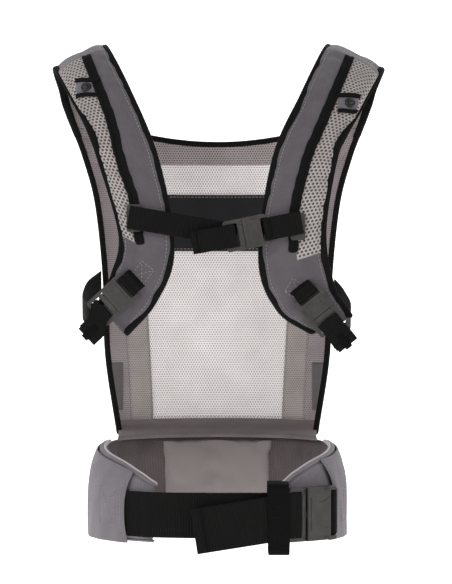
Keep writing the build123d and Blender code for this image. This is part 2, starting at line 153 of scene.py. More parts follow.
def sweep(name, centres, across, up, width, thick, material, power=5.0, around=12, caps=True):
    # closed strip with a rounded section, swept along a line; lists or single sizes
    centres = np.array(centres, float)
    count = len(centres)
    across = unit(np.broadcast_to(across, centres.shape))
    up = unit(np.broadcast_to(up, centres.shape))
    width = np.broadcast_to(width, count)
    thick = np.broadcast_to(thick, count)
    turn = np.linspace(0, 2 * math.pi, around, endpoint=False) + math.pi / around
    side = np.sign(np.cos(turn)) * np.abs(np.cos(turn)) ** (2 / power)
    rise = np.sign(np.sin(turn)) * np.abs(np.sin(turn)) ** (2 / power)
    run = distanceAlong(centres)
    verts, uvs, faces = [], [], []
    for i in range(count):
        for s, r in zip(side, rise):
            verts.append(centres[i] + across[i] * s * width[i] / 2 + up[i] * r * thick[i] / 2)
            uvs.append((s * width[i] / 2, run[i]))
    for i in range(count - 1):
        for k in range(around):
            n = (k + 1) % around
            faces.append((i * around + k, i * around + n, (i + 1) * around + n, (i + 1) * around + k))
    if caps:
        faces.append(tuple(range(around))[::-1])
        faces.append(tuple(range((count - 1) * around, count * around)))
    return newPiece(name, verts, faces, uvs, [material])


def joined(name, pieces):
    # several meshes as one piece, materials kept
    base = pieces[0]
    work = bmesh.new()
    for piece in pieces:
        start = len(work.faces)
        slotFor = {}
        for index, material in enumerate(piece.data.materials):
            if material.name not in [m.name for m in base.data.materials]:
                base.data.materials.append(material)
            slotFor[index] = [m.name for m in base.data.materials].index(material.name)
        work.from_mesh(piece.data)
        work.faces.ensure_lookup_table()
        for face in work.faces[start:]:
            face.material_index = slotFor.get(face.material_index, 0)
    work.to_mesh(base.data)
    work.free()
    for piece in pieces[1:]:
        bpy.data.objects.remove(piece)
    base.name = name
    return base


def stitches(name, lines, thread, long=3.0, gap=1.3, round=0.42):
    # sewn thread: short capsules end to end along lines of (point, outward direction)
    verts, faces = [], []
    for points, outward in lines:
        points = np.array(points, float)
        outward = unit(np.broadcast_to(outward, points.shape))
        run = distanceAlong(points)
        starts = np.arange(0, run[-1] - long * mm, (long + gap) * mm)
        for s in starts:
            ends = []
            for at in (s, s + long * mm * 0.5, s + long * mm):
                p = np.array([np.interp(at, run, points[:, k]) for k in range(3)])
                o = unit(np.array([np.interp(at, run, outward[:, k]) for k in range(3)]))
                ends.append((p, o))
            along = unit(ends[2][0] - ends[0][0])
            base = len(verts)
            for (p, o), swell, lift in zip(ends, (0.55, 1.0, 0.55), (0.0, 0.25, 0.0)):
                beside = np.cross(along, o)
                for turn in range(6):
                    a = turn * math.pi / 3
                    verts.append(p + (beside * math.cos(a) + o * (math.sin(a) + lift)) * round * mm * swell)
            for ring in range(2):
                for k in range(6):
                    n = (k + 1) % 6
                    low, high = base + ring * 6, base + ring * 6 + 6
                    faces.append((low + k, low + n, high + n, high + k))
            faces.append(tuple(base + k for k in range(6))[::-1])
            faces.append(tuple(base + 12 + k for k in range(6)))
    return newPiece(name, verts, faces, None, [thread])


def startMaterial(name):
    material = bpy.data.materials.new(name)
    material.use_nodes = True
    tree = material.node_tree
    tree.nodes.clear()
    return material, tree


def clothPlace(tree):
    # cloth coordinates in millimetres
    place = addNode(tree, "ShaderNodeUVMap", {"uv_map": "cloth"})
    return addNode(tree, "ShaderNodeVectorMath", {"operation": "SCALE", "Scale": 1000.0},
                   {0: place.outputs[0]}).outputs[0]


def solidPlace(tree):
    # object coordinates in millimetres, for moulded pieces
    place = addNode(tree, "ShaderNodeTexCoord")
    return addNode(tree, "ShaderNodeVectorMath", {"operation": "SCALE", "Scale": 1000.0},
                   {0: place.outputs["Object"]}).outputs[0]


def ribs(tree, value, spacing):
    # 0 to 1 and back every spacing millimetres
    turn = addNode(tree, "ShaderNodeMath", {"operation": "MULTIPLY", 1: 2 * math.pi / spacing}, {0: value})
    wave = addNode(tree, "ShaderNodeMath", {"operation": "SINE"}, {0: turn.outputs[0]})
    return addNode(tree, "ShaderNodeMath", {"operation": "MULTIPLY_ADD", 1: 0.5, 2: 0.5},
                   {0: wave.outputs[0]}).outputs[0]


def calc(tree, operation, a, b=None, c=None):
    # arithmetic on sockets or numbers
    settings, links = {"operation": operation}, {}
    for index, item in enumerate((a, b, c)):
        if isinstance(item, (int, float)):
            settings[index] = item
        elif item is not None:
            links[index] = item
    return addNode(tree, "ShaderNodeMath", settings, links).outputs[0]


def hexHoles(tree, place, spacing):
    # distance from the nearest hole's middle, holes in staggered rows, in spacings
    rows = math.sqrt(3)
    best = None
    for shift in (0.0, 0.5):
        moved = addNode(tree, "ShaderNodeVectorMath", {"operation": "MULTIPLY_ADD",
                        1: (1 / spacing, 1 / (spacing * rows), 0), 2: (shift, shift, 0)}, {0: place})
        cell = addNode(tree, "ShaderNodeVectorMath", {"operation": "FRACTION"}, {0: moved.outputs[0]})
        centred = addNode(tree, "ShaderNodeVectorMath", {"operation": "SUBTRACT", 1: (0.5, 0.5, 0)},
                          {0: cell.outputs[0]})
        real = addNode(tree, "ShaderNodeVectorMath", {"operation": "MULTIPLY", 1: (1, rows, 0)},
                       {0: centred.outputs[0]})
        far = addNode(tree, "ShaderNodeVectorMath", {"operation": "LENGTH"}, {0: real.outputs[0]})
        best = far.outputs["Value"] if best is None else calc(tree, "MINIMUM", best, far.outputs["Value"])
    return best


def ramp(tree, value, low, high, colours):
    # colours laid evenly between two values
    scaled = addNode(tree, "ShaderNodeMapRange", {"From Min": low, "From Max": high}, {"Value": value})
    node = addNode(tree, "ShaderNodeValToRGB", None, {"Fac": scaled.outputs[0]})
    stops = node.color_ramp.elements
    while len(stops) < len(colours):
        stops.new(0.5)
    for index, code in enumerate(colours):
        stops[index].position = index / (len(colours) - 1)
        stops[index].color = toLinear(code)
    return node.outputs[0]


def blendColours(tree, amount, first, second, mode="MIX"):
    node = addNode(tree, "ShaderNodeMix", {"data_type": "RGBA", "blend_type": mode})
    for index, item in ((0, amount), (6, first), (7, second)):
        if isinstance(item, (int, float, tuple)):
            node.inputs[index].default_value = item
        else:
            tree.links.new(item, node.inputs[index])
    return node.outputs[2]


def finishMaterial(tree, colour, height, depth, settings, extraLinks=None):
    # principled shader with the colour and a bump that is depth millimetres high
    bump = addNode(tree, "ShaderNodeBump", {"Strength": 1.0, "Distance": depth * mm}, {"Height": height})
    links = {"Base Color": colour, "Normal": bump.outputs[0]}
    links.update(extraLinks or {})
    shader = addNode(tree, "ShaderNodeBsdfPrincipled", settings, links)
    addNode(tree, "ShaderNodeOutputMaterial", None, {"Surface": shader.outputs[0]})
    return shader


def wovenCloth(name, deep, pale, spacing, depth=0.25, sheen=0.25, roughness=0.9, diagonal=0.5):
    # Polyester twill, piece dyed: slanting ribs of yarn, slightly uneven dye, a dull even sheen.
    # Real yarn is about 0.4 mm; drawn coarser so that it shows.
    material, tree = startMaterial(name)
    place = clothPlace(tree)
    split = addNode(tree, "ShaderNodeSeparateXYZ", None, {0: place})
    slant = calc(tree, "MULTIPLY_ADD", split.outputs[1], diagonal, split.outputs[0])
    warp = ribs(tree, slant, spacing)
    weft = ribs(tree, split.outputs[1], spacing * 0.8)
    weave = calc(tree, "MULTIPLY_ADD", weft, 0.4, warp)
    cloud = addNode(tree, "ShaderNodeTexNoise", {"Scale": 0.045, "Detail": 5.0, "Roughness": 0.6}, {0: place})
    fuzz = addNode(tree, "ShaderNodeTexNoise", {"Scale": 1.1, "Detail": 3.0}, {0: place})
    tone = calc(tree, "MULTIPLY_ADD", cloud.outputs[0], 0.55, calc(tree, "MULTIPLY", weave, 0.28))
    tone = calc(tree, "MULTIPLY_ADD", fuzz.outputs[0], 0.22, tone)
    colour = ramp(tree, tone, 0.22, 0.78, [deep, pale])
    height = calc(tree, "MULTIPLY_ADD", fuzz.outputs[0], 0.5, weave)
    finishMaterial(tree, colour, height, depth, {"Roughness": roughness, "Sheen Weight": sheen,
                                                 "Sheen Roughness": 0.5, "IOR": 1.5,
                                                 "Specular IOR Level": 0.25})
    return material


def knittedMesh(name, paintedHoleShade, deep, pale, spacing, size=0.30, depth=0.6, sheen=0.2):
    # Warp-knitted polyester mesh: round holes in staggered rows between raised yarn bridges
    # that catch the light; each hole is coloured with painted shade for its dark inside.
    material, tree = startMaterial(name)
    place = clothPlace(tree)
    far = hexHoles(tree, place, spacing)
    cloud = addNode(tree, "ShaderNodeTexNoise", {"Scale": 0.03, "Detail": 4.0}, {0: place})
    yarn = addNode(tree, "ShaderNodeTexNoise", {"Scale": 1.6, "Detail": 2.0}, {0: place})
    yarnTone = calc(tree, "MULTIPLY_ADD", yarn.outputs[0], 0.45,
                    calc(tree, "MULTIPLY", cloud.outputs[0], 0.55))
    thread = ramp(tree, yarnTone, 0.25, 0.75, [deep, pale])
    solid = addNode(tree, "ShaderNodeMapRange", {"From Min": size * 0.72, "From Max": size * 1.15,
                    "interpolation_type": "SMOOTHSTEP"}, {"Value": far})
    # the holes take the painted shade colour, the yarn between them the thread colour
    colour = blendColours(tree, solid.outputs[0], toLinear(paintedHoleShade), thread)
    height = calc(tree, "MULTIPLY_ADD", yarn.outputs[0], 0.15, solid.outputs[0])
    finishMaterial(tree, colour, height, depth, {"Roughness": 0.8, "Sheen Weight": sheen,
                                                 "Sheen Roughness": 0.4, "IOR": 1.5,
                                                 "Specular IOR Level": 0.3})
    return material


def ribbedTape(name, deep, pale, alongSpacing, acrossSpacing, depth, roughness=0.62, sheen=0.12, gloss=0.3):
    # Woven narrow tape: ribs along or across the tape with a fine cross weave, filament yarn
    # with a soft gloss on the tops of the ribs.
    material, tree = startMaterial(name)
    place = clothPlace(tree)
    split = addNode(tree, "ShaderNodeSeparateXYZ", None, {0: place})
    lengthwise = ribs(tree, split.outputs[0], alongSpacing)
    crosswise = ribs(tree, split.outputs[1], acrossSpacing)
    fluff = addNode(tree, "ShaderNodeTexNoise", {"Scale": 0.9, "Detail": 3.0}, {0: place})
    weave = calc(tree, "MULTIPLY_ADD", lengthwise, 0.35, crosswise)
    tone = calc(tree, "MULTIPLY_ADD", fluff.outputs[0], 0.5, calc(tree, "MULTIPLY", weave, 0.45))
    colour = ramp(tree, tone, 0.2, 1.0, [deep, pale])
    finishMaterial(tree, colour, weave, depth, {"Roughness": roughness, "Sheen Weight": sheen,
                                                "IOR": 1.5, "Specular IOR Level": gloss})
    return material


def mouldedPlastic(name, deep, pale, roughness=0.42):
    # Acetal, injection moulded in a fine-sparked tool: even colour, a fine matt grain and a
    # broad soft highlight.
    material, tree = startMaterial(name)
    place = solidPlace(tree)
    grain = addNode(tree, "ShaderNodeTexNoise", {"Scale": 2.2, "Detail": 4.0, "Roughness": 0.65}, {0: place})
    flow = addNode(tree, "ShaderNodeTexNoise", {"Scale": 0.09, "Detail": 2.0}, {0: place})
    tone = calc(tree, "MULTIPLY_ADD", grain.outputs[0], 0.35, calc(tree, "MULTIPLY", flow.outputs[0], 0.65))
    colour = ramp(tree, tone, 0.3, 0.7, [deep, pale])
    rough = addNode(tree, "ShaderNodeMapRange", {"To Min": roughness - 0.06, "To Max": roughness + 0.1},
                    {"Value": grain.outputs[0]})
    finishMaterial(tree, colour, grain.outputs[0], 0.06, {"IOR": 1.48}, {"Roughness": rough.outputs[0]})
    return material


cloths = {
    "twill": ("#3d393c", "#575256"), "beltTwill": ("#534e54", "#6f6a70"), "capTwill": ("#4d484c", "#67626a"),
    "darkTwill": ("#0e0e10", "#1a1a1d"),
}
greyTwill = wovenCloth("greyTwill", *cloths["twill"], spacing=1.5)
beltTwill = wovenCloth("beltTwill", *cloths["beltTwill"], spacing=1.5)
capTwill = wovenCloth("capTwill", *cloths["capTwill"], spacing=1.5)
darkTwill = wovenCloth("darkTwill", *cloths["darkTwill"], spacing=1.4, sheen=0.1)
# the first colour given to each mesh is painted shade for the inside of its holes
bodyMesh = knittedMesh("bodyMesh", "#8f8786", "#cfc8c8", "#ece6e6", spacing=3.2, size=0.27, depth=0.35)
topMesh = knittedMesh("topMesh", "#443e3e", "#857b7b", "#a39999", spacing=3.2, size=0.29, depth=0.35)
strapMesh = knittedMesh("strapMesh", "#3a3636", "#827b79", "#a9a29f", spacing=4.6, size=0.31, depth=0.9)
yokeMesh = knittedMesh("yokeMesh", "#575151", "#7e7674", "#9c9492", spacing=2.8, size=0.26, depth=0.3)
liningMesh = knittedMesh("liningMesh", "#241f20", "#4b4243", "#625757", spacing=2.8, size=0.28, depth=0.4)
sideMesh = knittedMesh("sideMesh", "#4f494a", "#7d7476", "#9a9092", spacing=2.8, size=0.27, depth=0.35)
blackTape = ribbedTape("blackTape", "#050404", "#100f0f", 1.5, 3.0, 0.16,
                       roughness=0.8, sheen=0.0, gloss=0.1)
blackWebbing = ribbedTape("blackWebbing", "#030303", "#0f0f0e", 1.3, 3.0, 0.3,
                          roughness=0.75, sheen=0.0, gloss=0.1)
blackElastic = ribbedTape("blackElastic", "#030303", "#0b0b0b", 1.6, 2.6, 0.2,
                          roughness=0.8, sheen=0.0, gloss=0.08)
pipingTape = ribbedTape("pipingTape", "#8f8789", "#c4bcbe", 2.6, 1.4, 0.12, roughness=0.75)
greyThread = ribbedTape("greyThread", "#6a6568", "#979195", 0.9, 0.9, 0.05, roughness=0.6)
blackThread = ribbedTape("blackThread", "#0a0909", "#191818", 0.9, 0.9, 0.05,
                         roughness=0.8, sheen=0.0, gloss=0.1)
bucklePlastic = mouldedPlastic("bucklePlastic", "#1b1a18", "#2f2d2a")
snapPaint = mouldedPlastic("snapPaint", "#070606", "#131212", roughness=0.3)
print("finishes made")


view = {"behind": 2.5, "aside": 0.010, "height": 0.289, "focal": 134.6, "floor": -0.55}


def makeStudio():
    scene = bpy.context.scene
    scene.view_settings.view_transform = "Standard"
    lens = bpy.data.cameras.new("camera")
    lens.lens, lens.sensor_width, lens.clip_end = view["focal"], 36.0, 60.0
    camera = bpy.data.objects.new("camera", lens)
    camera.location = (view["aside"], -view["behind"], view["height"])
    camera.rotation_euler = (math.radians(90), 0, 0)
    scene.collection.objects.link(camera)
    scene.camera = camera

    world = bpy.data.worlds.new("studio")
    world.use_nodes = True
    world.node_tree.nodes["Background"].inputs[0].default_value = (1, 1, 1, 1)
    world.node_tree.nodes["Background"].inputs[1].default_value = 0.66
    scene.world = world

    lamps = [  # name, place, aim, size, watts
        ("keyLight", (-1.3, -1.7, 1.5), (0, 0, 0.3), 1.0, 21),
        ("fillLight", (1.6, -1.6, 0.5), (0, 0, 0.25), 1.4, 9),
        ("backLight", (0.2, 1.7, 1.3), (0, 0, 0.3), 1.4, 17),
        ("lowLight", (-0.4, -1.4, -0.3), (0, 0, 0.1), 0.8, 3),
    ]
    for name, place, aim, size, watts in lamps:
        data = bpy.data.lights.new(name, "AREA")
        data.energy, data.size = watts, size
        lamp = bpy.data.objects.new(name, data)
        lamp.location = place
        lamp.rotation_euler = (Vector(aim) - Vector(place)).to_track_quat("-Z", "Y").to_euler()
        scene.collection.objects.link(lamp)

    # floor that curves up behind, painted white
    paint, tree = startMaterial("studioPaint")
    shader = addNode(tree, "ShaderNodeBsdfPrincipled", {"Base Color": toLinear("#ffffff"), "Roughness": 1.0,
                     "Emission Color": (1, 1, 1, 1), "Emission Strength": 0.55})
    addNode(tree, "ShaderNodeOutputMaterial", None, {"Surface": shader.outputs[0]})
    low = view["floor"]
    curve = [(-6.0, low), (2.4, low), (3.0, low + 0.06), (3.4, low + 0.35), (3.55, low + 0.9), (3.6, 5.0)]
    line = smoothLine(curve, 60)
    verts = [(x, y, z) for y, z in line for x in (-7, 7)]
    faces = [(2 * i, 2 * i + 1, 2 * i + 3, 2 * i + 2) for i in range(len(line) - 1)]
    floor = newPiece("studioFloor", verts, faces, None, [paint])


makeStudio()
print("studio made")


def padMesh(name, outer, inner, across, along, materials, outerKind, innerKind):
    # closed pad from two grids of points that share their border
    rows, columns = outer.shape[:2]
    verts = [p for row in outer for p in row]
    uvs = [(across[i][j], along[i][j]) for i in range(rows) for j in range(columns)]
    top = np.arange(rows * columns).reshape(rows, columns)
    under = top.copy()
    for i in range(1, rows - 1):
        for j in range(1, columns - 1):
            under[i, j] = len(verts)
            verts.append(inner[i, j])
            uvs.append(uvs[top[i, j]])
    faces, kinds = [], []
    for i in range(rows - 1):
        for j in range(columns - 1):
            faces.append((top[i, j], top[i, j + 1], top[i + 1, j + 1], top[i + 1, j]))
            kinds.append(outerKind(i, j))
            faces.append((under[i, j], under[i + 1, j], under[i + 1, j + 1], under[i, j + 1]))
            kinds.append(innerKind(i, j))
    pad = newPiece(name, verts, faces, uvs, materials, kinds)
    work = bmesh.new()
    work.from_mesh(pad.data)
    bmesh.ops.recalc_face_normals(work, faces=work.faces)
    work.to_mesh(pad.data)
    work.free()
    return pad, top


def puff(piece, held, pressure=4.0, growth=0.015, cap=4.0, frames=20):
    # cloth filled with air between its seams; held vertices are sewn down
    scene = bpy.context.scene
    group = piece.vertex_groups.new(name="seams")
    group.add([int(v) for v in held], 1.0, "REPLACE")
    cloth = piece.modifiers.new("cloth", "CLOTH")
    settings = cloth.settings
    settings.quality, settings.mass = 6, 0.3
    settings.use_pressure, settings.uniform_pressure_force = True, pressure
    settings.vertex_group_mass = "seams"
    settings.shrink_min = -growth
    settings.tension_stiffness = settings.compression_stiffness = 12
    settings.bending_stiffness = 0.3
    settings.effector_weights.gravity = 0
    cloth.collision_settings.use_collision = False
    start = np.array([v.co for v in piece.data.vertices])
    for number in range(1, frames + 1):
        scene.frame_set(number)
    ready = piece.evaluated_get(bpy.context.evaluated_depsgraph_get())
    moved = np.array([v.co for v in ready.data.vertices]) - start
    far = np.linalg.norm(moved, axis=1, keepdims=True)
    moved *= np.minimum(1, cap * mm / np.maximum(far, 1e-9))
    piece.modifiers.clear()
    piece.vertex_groups.clear()
    piece.data.vertices.foreach_set("co", (start + moved).ravel())
    piece.data.update()
    scene.frame_set(1)
    print(piece.name, "puffed by up to", round(float(far.max()) * 1000, 1), "mm")


class Surface:
    # finished cloth to lay trim on
    def __init__(self, piece):
        mesh = piece.data
        self.tree = BVHTree.FromPolygons([v.co for v in mesh.vertices], [p.vertices for p in mesh.polygons])

    def lay(self, points, lift=0.0):
        # points dropped on to the cloth, raised by lift, with the cloth's outward direction
        placed, outward = [], []
        for p in points:
            spot, normal, _, _ = self.tree.find_nearest(Vector(p))
            placed.append(np.array(spot) + np.array(normal) * lift)
            outward.append(np.array(normal))
        return np.array(placed), unit(np.array(outward))


beltLow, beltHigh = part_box("belt_cover")
belt = {
    "halfX": beltHigh[0], "halfY": beltHigh[1], "hem": beltLow[2], "lean": 9 * mm, "full": 123 * mm,
    "endLeft": -72 * mm, "endRight": 68 * mm, "thick": 12 * mm,
    "rim": [(-125, 74), (-104, 78), (-90, 90), (-64, 103), (0, 115), (60, 122), (130, 123)],
    "columns": 150, "rows": 15, "pipingWide": 4.4 * mm, "pipedTo": 30 * mm,
    "gathers": 1.1 * mm,
}


def beltPlace(angle, z, inset=0.0, lean=1.0):
    # point on the belt's wall, inset from its outer face
    drop = belt["lean"] * (z - belt["hem"]) / (belt["full"] - belt["hem"]) * lean
    return np.array([(belt["halfX"] - drop - inset) * math.cos(angle),
                     (belt["halfY"] - drop - inset) * math.sin(angle), z])


def rimHeight(angle):
    y = belt["halfY"] * math.sin(angle) / mm
    fine = smoothLine(belt["rim"], 200)
    height = float(np.interp(y, fine[:, 0], fine[:, 1])) * mm
    if math.cos(angle) > 0 > math.sin(angle):   # the safety loop pulls the right end down
        out = belt["halfX"] * math.cos(angle) / mm
        height = min(height, (79 + 30 * max(0.0, (out - 78) / 40)) * mm)
    return height


def makeBelt():
    first = 2 * math.pi - math.acos(belt["endLeft"] / belt["halfX"])
    last = -math.acos(belt["endRight"] / belt["halfX"])
    angles = np.linspace(first, last, belt["columns"])
    heights = np.linspace(0, 1, belt["rows"])
    outer = np.zeros((belt["columns"], belt["rows"], 3))
    inner = outer.copy()
    random = np.random.default_rng(4)
    phase = random.uniform(0, 6.28, 6)
    for i, angle in enumerate(angles):
        rim = rimHeight(angle) - belt["pipingWide"] * 0.5
        nearEnd = min(i, belt["columns"] - 1 - i) / 5
        for j, h in enumerate(heights):
            z = belt["hem"] + 1.5 * mm + (rim - belt["hem"] - 1.5 * mm) * h
            crown = max(0.22, (1 - abs(2 * h - 1) ** 4) ** 0.5) * min(1.0, 0.25 + nearEnd * 0.75)
            half = belt["thick"] / 2 * crown * 0.92
            # soft upright gathers, strongest where the straps pull
            pull = math.exp(-((angle - math.radians(205)) / 0.28) ** 2) \
                + math.exp(-((angle + math.radians(22)) / 0.28) ** 2) + 0.25
            gather = sum(math.sin(angle * f + p + 1.3 * h) for f, p in zip((61, 43, 29), phase)) / 3
            gather *= belt["gathers"] * pull * math.sin(math.pi * min(1, h * 1.15 + 0.05)) * min(1, nearEnd)
            middle = belt["thick"] / 2
            outer[i, j] = beltPlace(angle, z, middle - half - gather)
            inner[i, j] = beltPlace(angle, z, middle + half)
    run = distanceAlong(outer[:, 7])
    across = outer[:, :, 2]
    along = np.repeat(run[:, None], belt["rows"], axis=1)
    pad, top = padMesh("waistBelt", outer, inner, across, along, [beltTwill, liningMesh],
                              lambda i, j: 0, lambda i, j: 1)
    held = set(top[0]) | set(top[-1]) | set(top[:, 0]) | set(top[:, -1])
    puff(pad, held, growth=0.02, cap=3.0)
    settle(pad, "carrier", ["belt_cover", "belt_foam", "belt_lining"], levels=1)
    surface = Surface(pad)

    # piping: a cord wrapped in pale tape along the open part of the rim, and a turned hem below
    rimLine = np.array([beltPlace(a, rimHeight(a) - belt["pipingWide"] * 0.5, belt["thick"] / 2)
                        for a in angles])
    outward = unit(np.array([beltPlace(a, 0.05) * (1, 1, 0) for a in angles]))
    cords, rolls = [], []
    halfway = belt["columns"] // 2
    opened = [i for i in range(belt["columns"]) if rimLine[i][1] < belt["pipedTo"]]
    for half in ([i for i in opened if i < halfway], [i for i in opened if i >= halfway]):
        cords.append(sweep("cord", rimLine[half] - outward[half] * (1.6 * mm), outward[half], (0, 0, 1),
                           3.4 * mm, belt["pipingWide"], pipingTape, 2.2))
        rolls.append(sweep("roll", rimLine[half] + outward[half] * (1.2 * mm) - (0, 0, 0.6 * mm),
                           outward[half], (0, 0, 1), 7.0 * mm, 3.6 * mm, beltTwill, 2.4))
    piping, shoulder = joined("beltPiping", cords), joined("rimCloth", rolls)
    settle(shoulder, "carrier", levels=1)
    settle(piping, "carrier", ["belt_piping"], levels=1)
    hemLine = np.array([beltPlace(a, belt["hem"] + 2 * mm, belt["thick"] / 2) for a in angles])
    hem = sweep("beltHem", hemLine, outward, (0, 0, 1), 5.5 * mm, 3.4 * mm, beltTwill, 2.4)
    settle(hem, "carrier", levels=1)

    lines = []
    for below in (7.5, 9.0):
        line = [beltPlace(a, rimHeight(a) - below * mm, -0.5 * mm) for a in angles[3:-3]]
        lines.append(surface.lay(line, 0.2 * mm))
    line = [beltPlace(a, belt["hem"] + 7 * mm, -0.5 * mm) for a in angles[3:-3]]
    lines.append(surface.lay(line, 0.2 * mm))
    settle(stitches("beltStitching", lines, greyThread), "carrier")
    return surface


beltSurface = makeBelt()
print("waist belt made")


flaps = {
    "left": {"from": math.radians(226), "to": math.radians(164), "hollow": 0.04, "low": 12 * mm,
             "box": (0.10, 0.30), "boxLow": 0.22, "boxHigh": 0.72},
    "right": {"from": math.radians(-27), "to": math.radians(14), "hollow": 0.16, "low": 12 * mm,
              "box": (0.16, 0.42), "boxLow": 0.2, "boxHigh": 0.75},
}


def flapPlace(flap, u, h, lift):
    # place on a flap: u from its free edge to the belt's side, h from hem to rim
    angle = flap["from"] + (flap["to"] - flap["from"]) * u
    top = rimHeight(angle) - 3.5 * mm
    z = flap["low"] + (top - flap["low"]) * h
    free = max(0.0, 1 - u / 0.16)
    angle -= (flap["to"] - flap["from"]) * flap["hollow"] * free * (2 * h - 1) ** 2
    fade = min(1.0, (1 - u) / 0.35)
    fade = fade * fade * (3 - 2 * fade)
    sewn = max(0.0, (h - 0.55) / 0.45) ** 2       # the top is sewn down along the rim
    return beltPlace(angle, z, -(lift * fade * (1 - 0.8 * sewn) + 0.4 * (1 - fade)) * mm,
                     lean=0.25 + 0.75 * max((1 - fade) * h, sewn))


def makeFlap(side):
    # outer cloth of the belt's side, open at its free edge where the webbing comes out
    flap = flaps[side]
    columns, rows = 34, 28
    grid = np.zeros((columns, rows, 3))
    for i, u in enumerate(np.linspace(0, 1, columns)):
        for j, h in enumerate(np.linspace(0, 1, rows)):
            soft = 0.35 * math.sin(i * 0.8 + j * 0.3) + 0.8 * math.exp(-((u - 0.06) / 0.05) ** 2)
            grid[i, j] = flapPlace(flap, u, h, 3.3 + 0.9 * math.sin(math.pi * h) + soft)
    run = distanceAlong(grid[:, rows // 2])
    verts = [grid[i, j] for i in range(columns) for j in range(rows)]
    uvs = [(grid[i, j][2], run[i]) for i in range(columns) for j in range(rows)]
    faces = []
    for i in range(columns - 1):
        for j in range(rows - 1):
            a = i * rows + j
            faces.append((a, a + 1, a + rows + 1, a + rows))
    piece = newPiece(f"beltFlap_{side}", verts, faces, uvs, [beltTwill])
    thickness(piece, 1.7 * mm)
    settle(piece, "carrier", [f"belt_flap_{side}"], levels=1)
    surface = Surface(piece)
    first, last = flap["box"]
    low, high = flap["boxLow"], flap["boxHigh"]
    box = [(first, low), (last, low), (last, high), (first, high), (first, low)]
    cross = [[(first, low), (last, high)], [(first, high), (last, low)]]
    lines = []
    for path in [box[i:i + 2] for i in range(4)] + cross:
        points = [flapPlace(flap, path[0][0] + (path[1][0] - path[0][0]) * t,
                            path[0][1] + (path[1][1] - path[0][1]) * t, 9) for t in np.linspace(0, 1, 14)]
        lines.append(surface.lay(points, 0.15 * mm))
    edge = [flapPlace(flap, 0.035, h, 9) for h in np.linspace(0.03, 0.97, 40)]
    lines.append(surface.lay(edge, 0.15 * mm))
    settle(stitches(f"flapStitching_{side}", lines, greyThread), "carrier")


def thickness(piece, amount):
    modifier = piece.modifiers.new("thickness", "SOLIDIFY")
    modifier.thickness, modifier.offset, modifier.use_even_offset = amount, 0.0, True


for flapSide in flaps:
    makeFlap(flapSide)
print("belt flaps made")


panel = {
    "low": (0.150, 0.110), "high": (0.178, 0.120), "foot": 0.121, "top": 0.480, "dip": 0.011,
    "side": [(0.118, 0.119), (0.132, 0.214), (0.135, 0.305), (0.144, 0.392), (0.1575, 0.445), (0.170, 0.480)],
    "thick": 1.5 * mm, "rows": 56, "columns": 72, "tape": 7.0 * mm,
    "flat": (0.387, 0.359), "cutArea": 0.105, "gussetWide": 26 * mm,
}
panelEdge = smoothLine(panel["side"], 200)


def panelHalf(z):
    return float(np.interp(z, panelEdge[:, 1], panelEdge[:, 0]))


def panelTop(x):
    return panel["top"] - panel["dip"] * max(0.0, 1 - (abs(x) / 0.100) ** 2)


def onPanel(x, z, inset=0.0):
    # point of the panel's curve, with its direction towards the wearer; the mesh bellies a
    # little where darts gather it low down on each side
    up = (z - 0.123) / (0.480 - 0.123)
    a = panel["low"][0] + (panel["high"][0] - panel["low"][0]) * up
    b = panel["low"][1] + (panel["high"][1] - panel["low"][1]) * up
    flat = max(0.0, 1 - (x / a) ** 2)
    y = b * math.sqrt(flat)
    towards = unit(np.array([-x / a ** 2, -y / b ** 2, 0.0]))
    belly = 1.6 * math.exp(-((abs(x) - 0.098) / 0.020) ** 2) * math.exp(-((z - 0.185) / 0.05) ** 2)
    belly += 0.5 * math.sin(z * 62 + x * 31) * math.cos(x * 47 - 0.6) * max(0.0, 1 - abs(x) / 0.13)
    return np.array([x, y, z]) + towards * (inset + belly * mm), towards


def panelPatch(name, lowZ, highZ, xLow, xHigh, inset, material, thick, rows=30, columns=30):
    # part of the panel between two heights and two lines of x against height
    verts, uvs = [], []
    for i in range(rows):
        for j in range(columns):
            t = j / (columns - 1)
            z = lowZ + (highZ - lowZ) * i / (rows - 1)
            x = xLow(z) * (1 - t) + xHigh(z) * t
            if highZ >= panel["top"]:      # the top row follows the dip of the top edge
                z = lowZ + (panelTop(x) - lowZ) * i / (rows - 1)
                x = xLow(z) * (1 - t) + xHigh(z) * t
            verts.append(onPanel(x, z, inset)[0])
            curve = 0.150 + 0.028 * (z - 0.123) / 0.357
            uvs.append((math.asin(max(-1, min(1, x / curve))) * curve, z))
    faces = [(i * columns + j, i * columns + j + 1, (i + 1) * columns + j + 1, (i + 1) * columns + j)
             for i in range(rows - 1) for j in range(columns - 1)]
    piece = newPiece(name, verts, faces, uvs, [material])
    thickness(piece, thick)
    return piece


def panelLine(points, inset):
    places, towards = zip(*(onPanel(x, z, inset) for x, z in points))
    return np.array(places), np.array(towards)


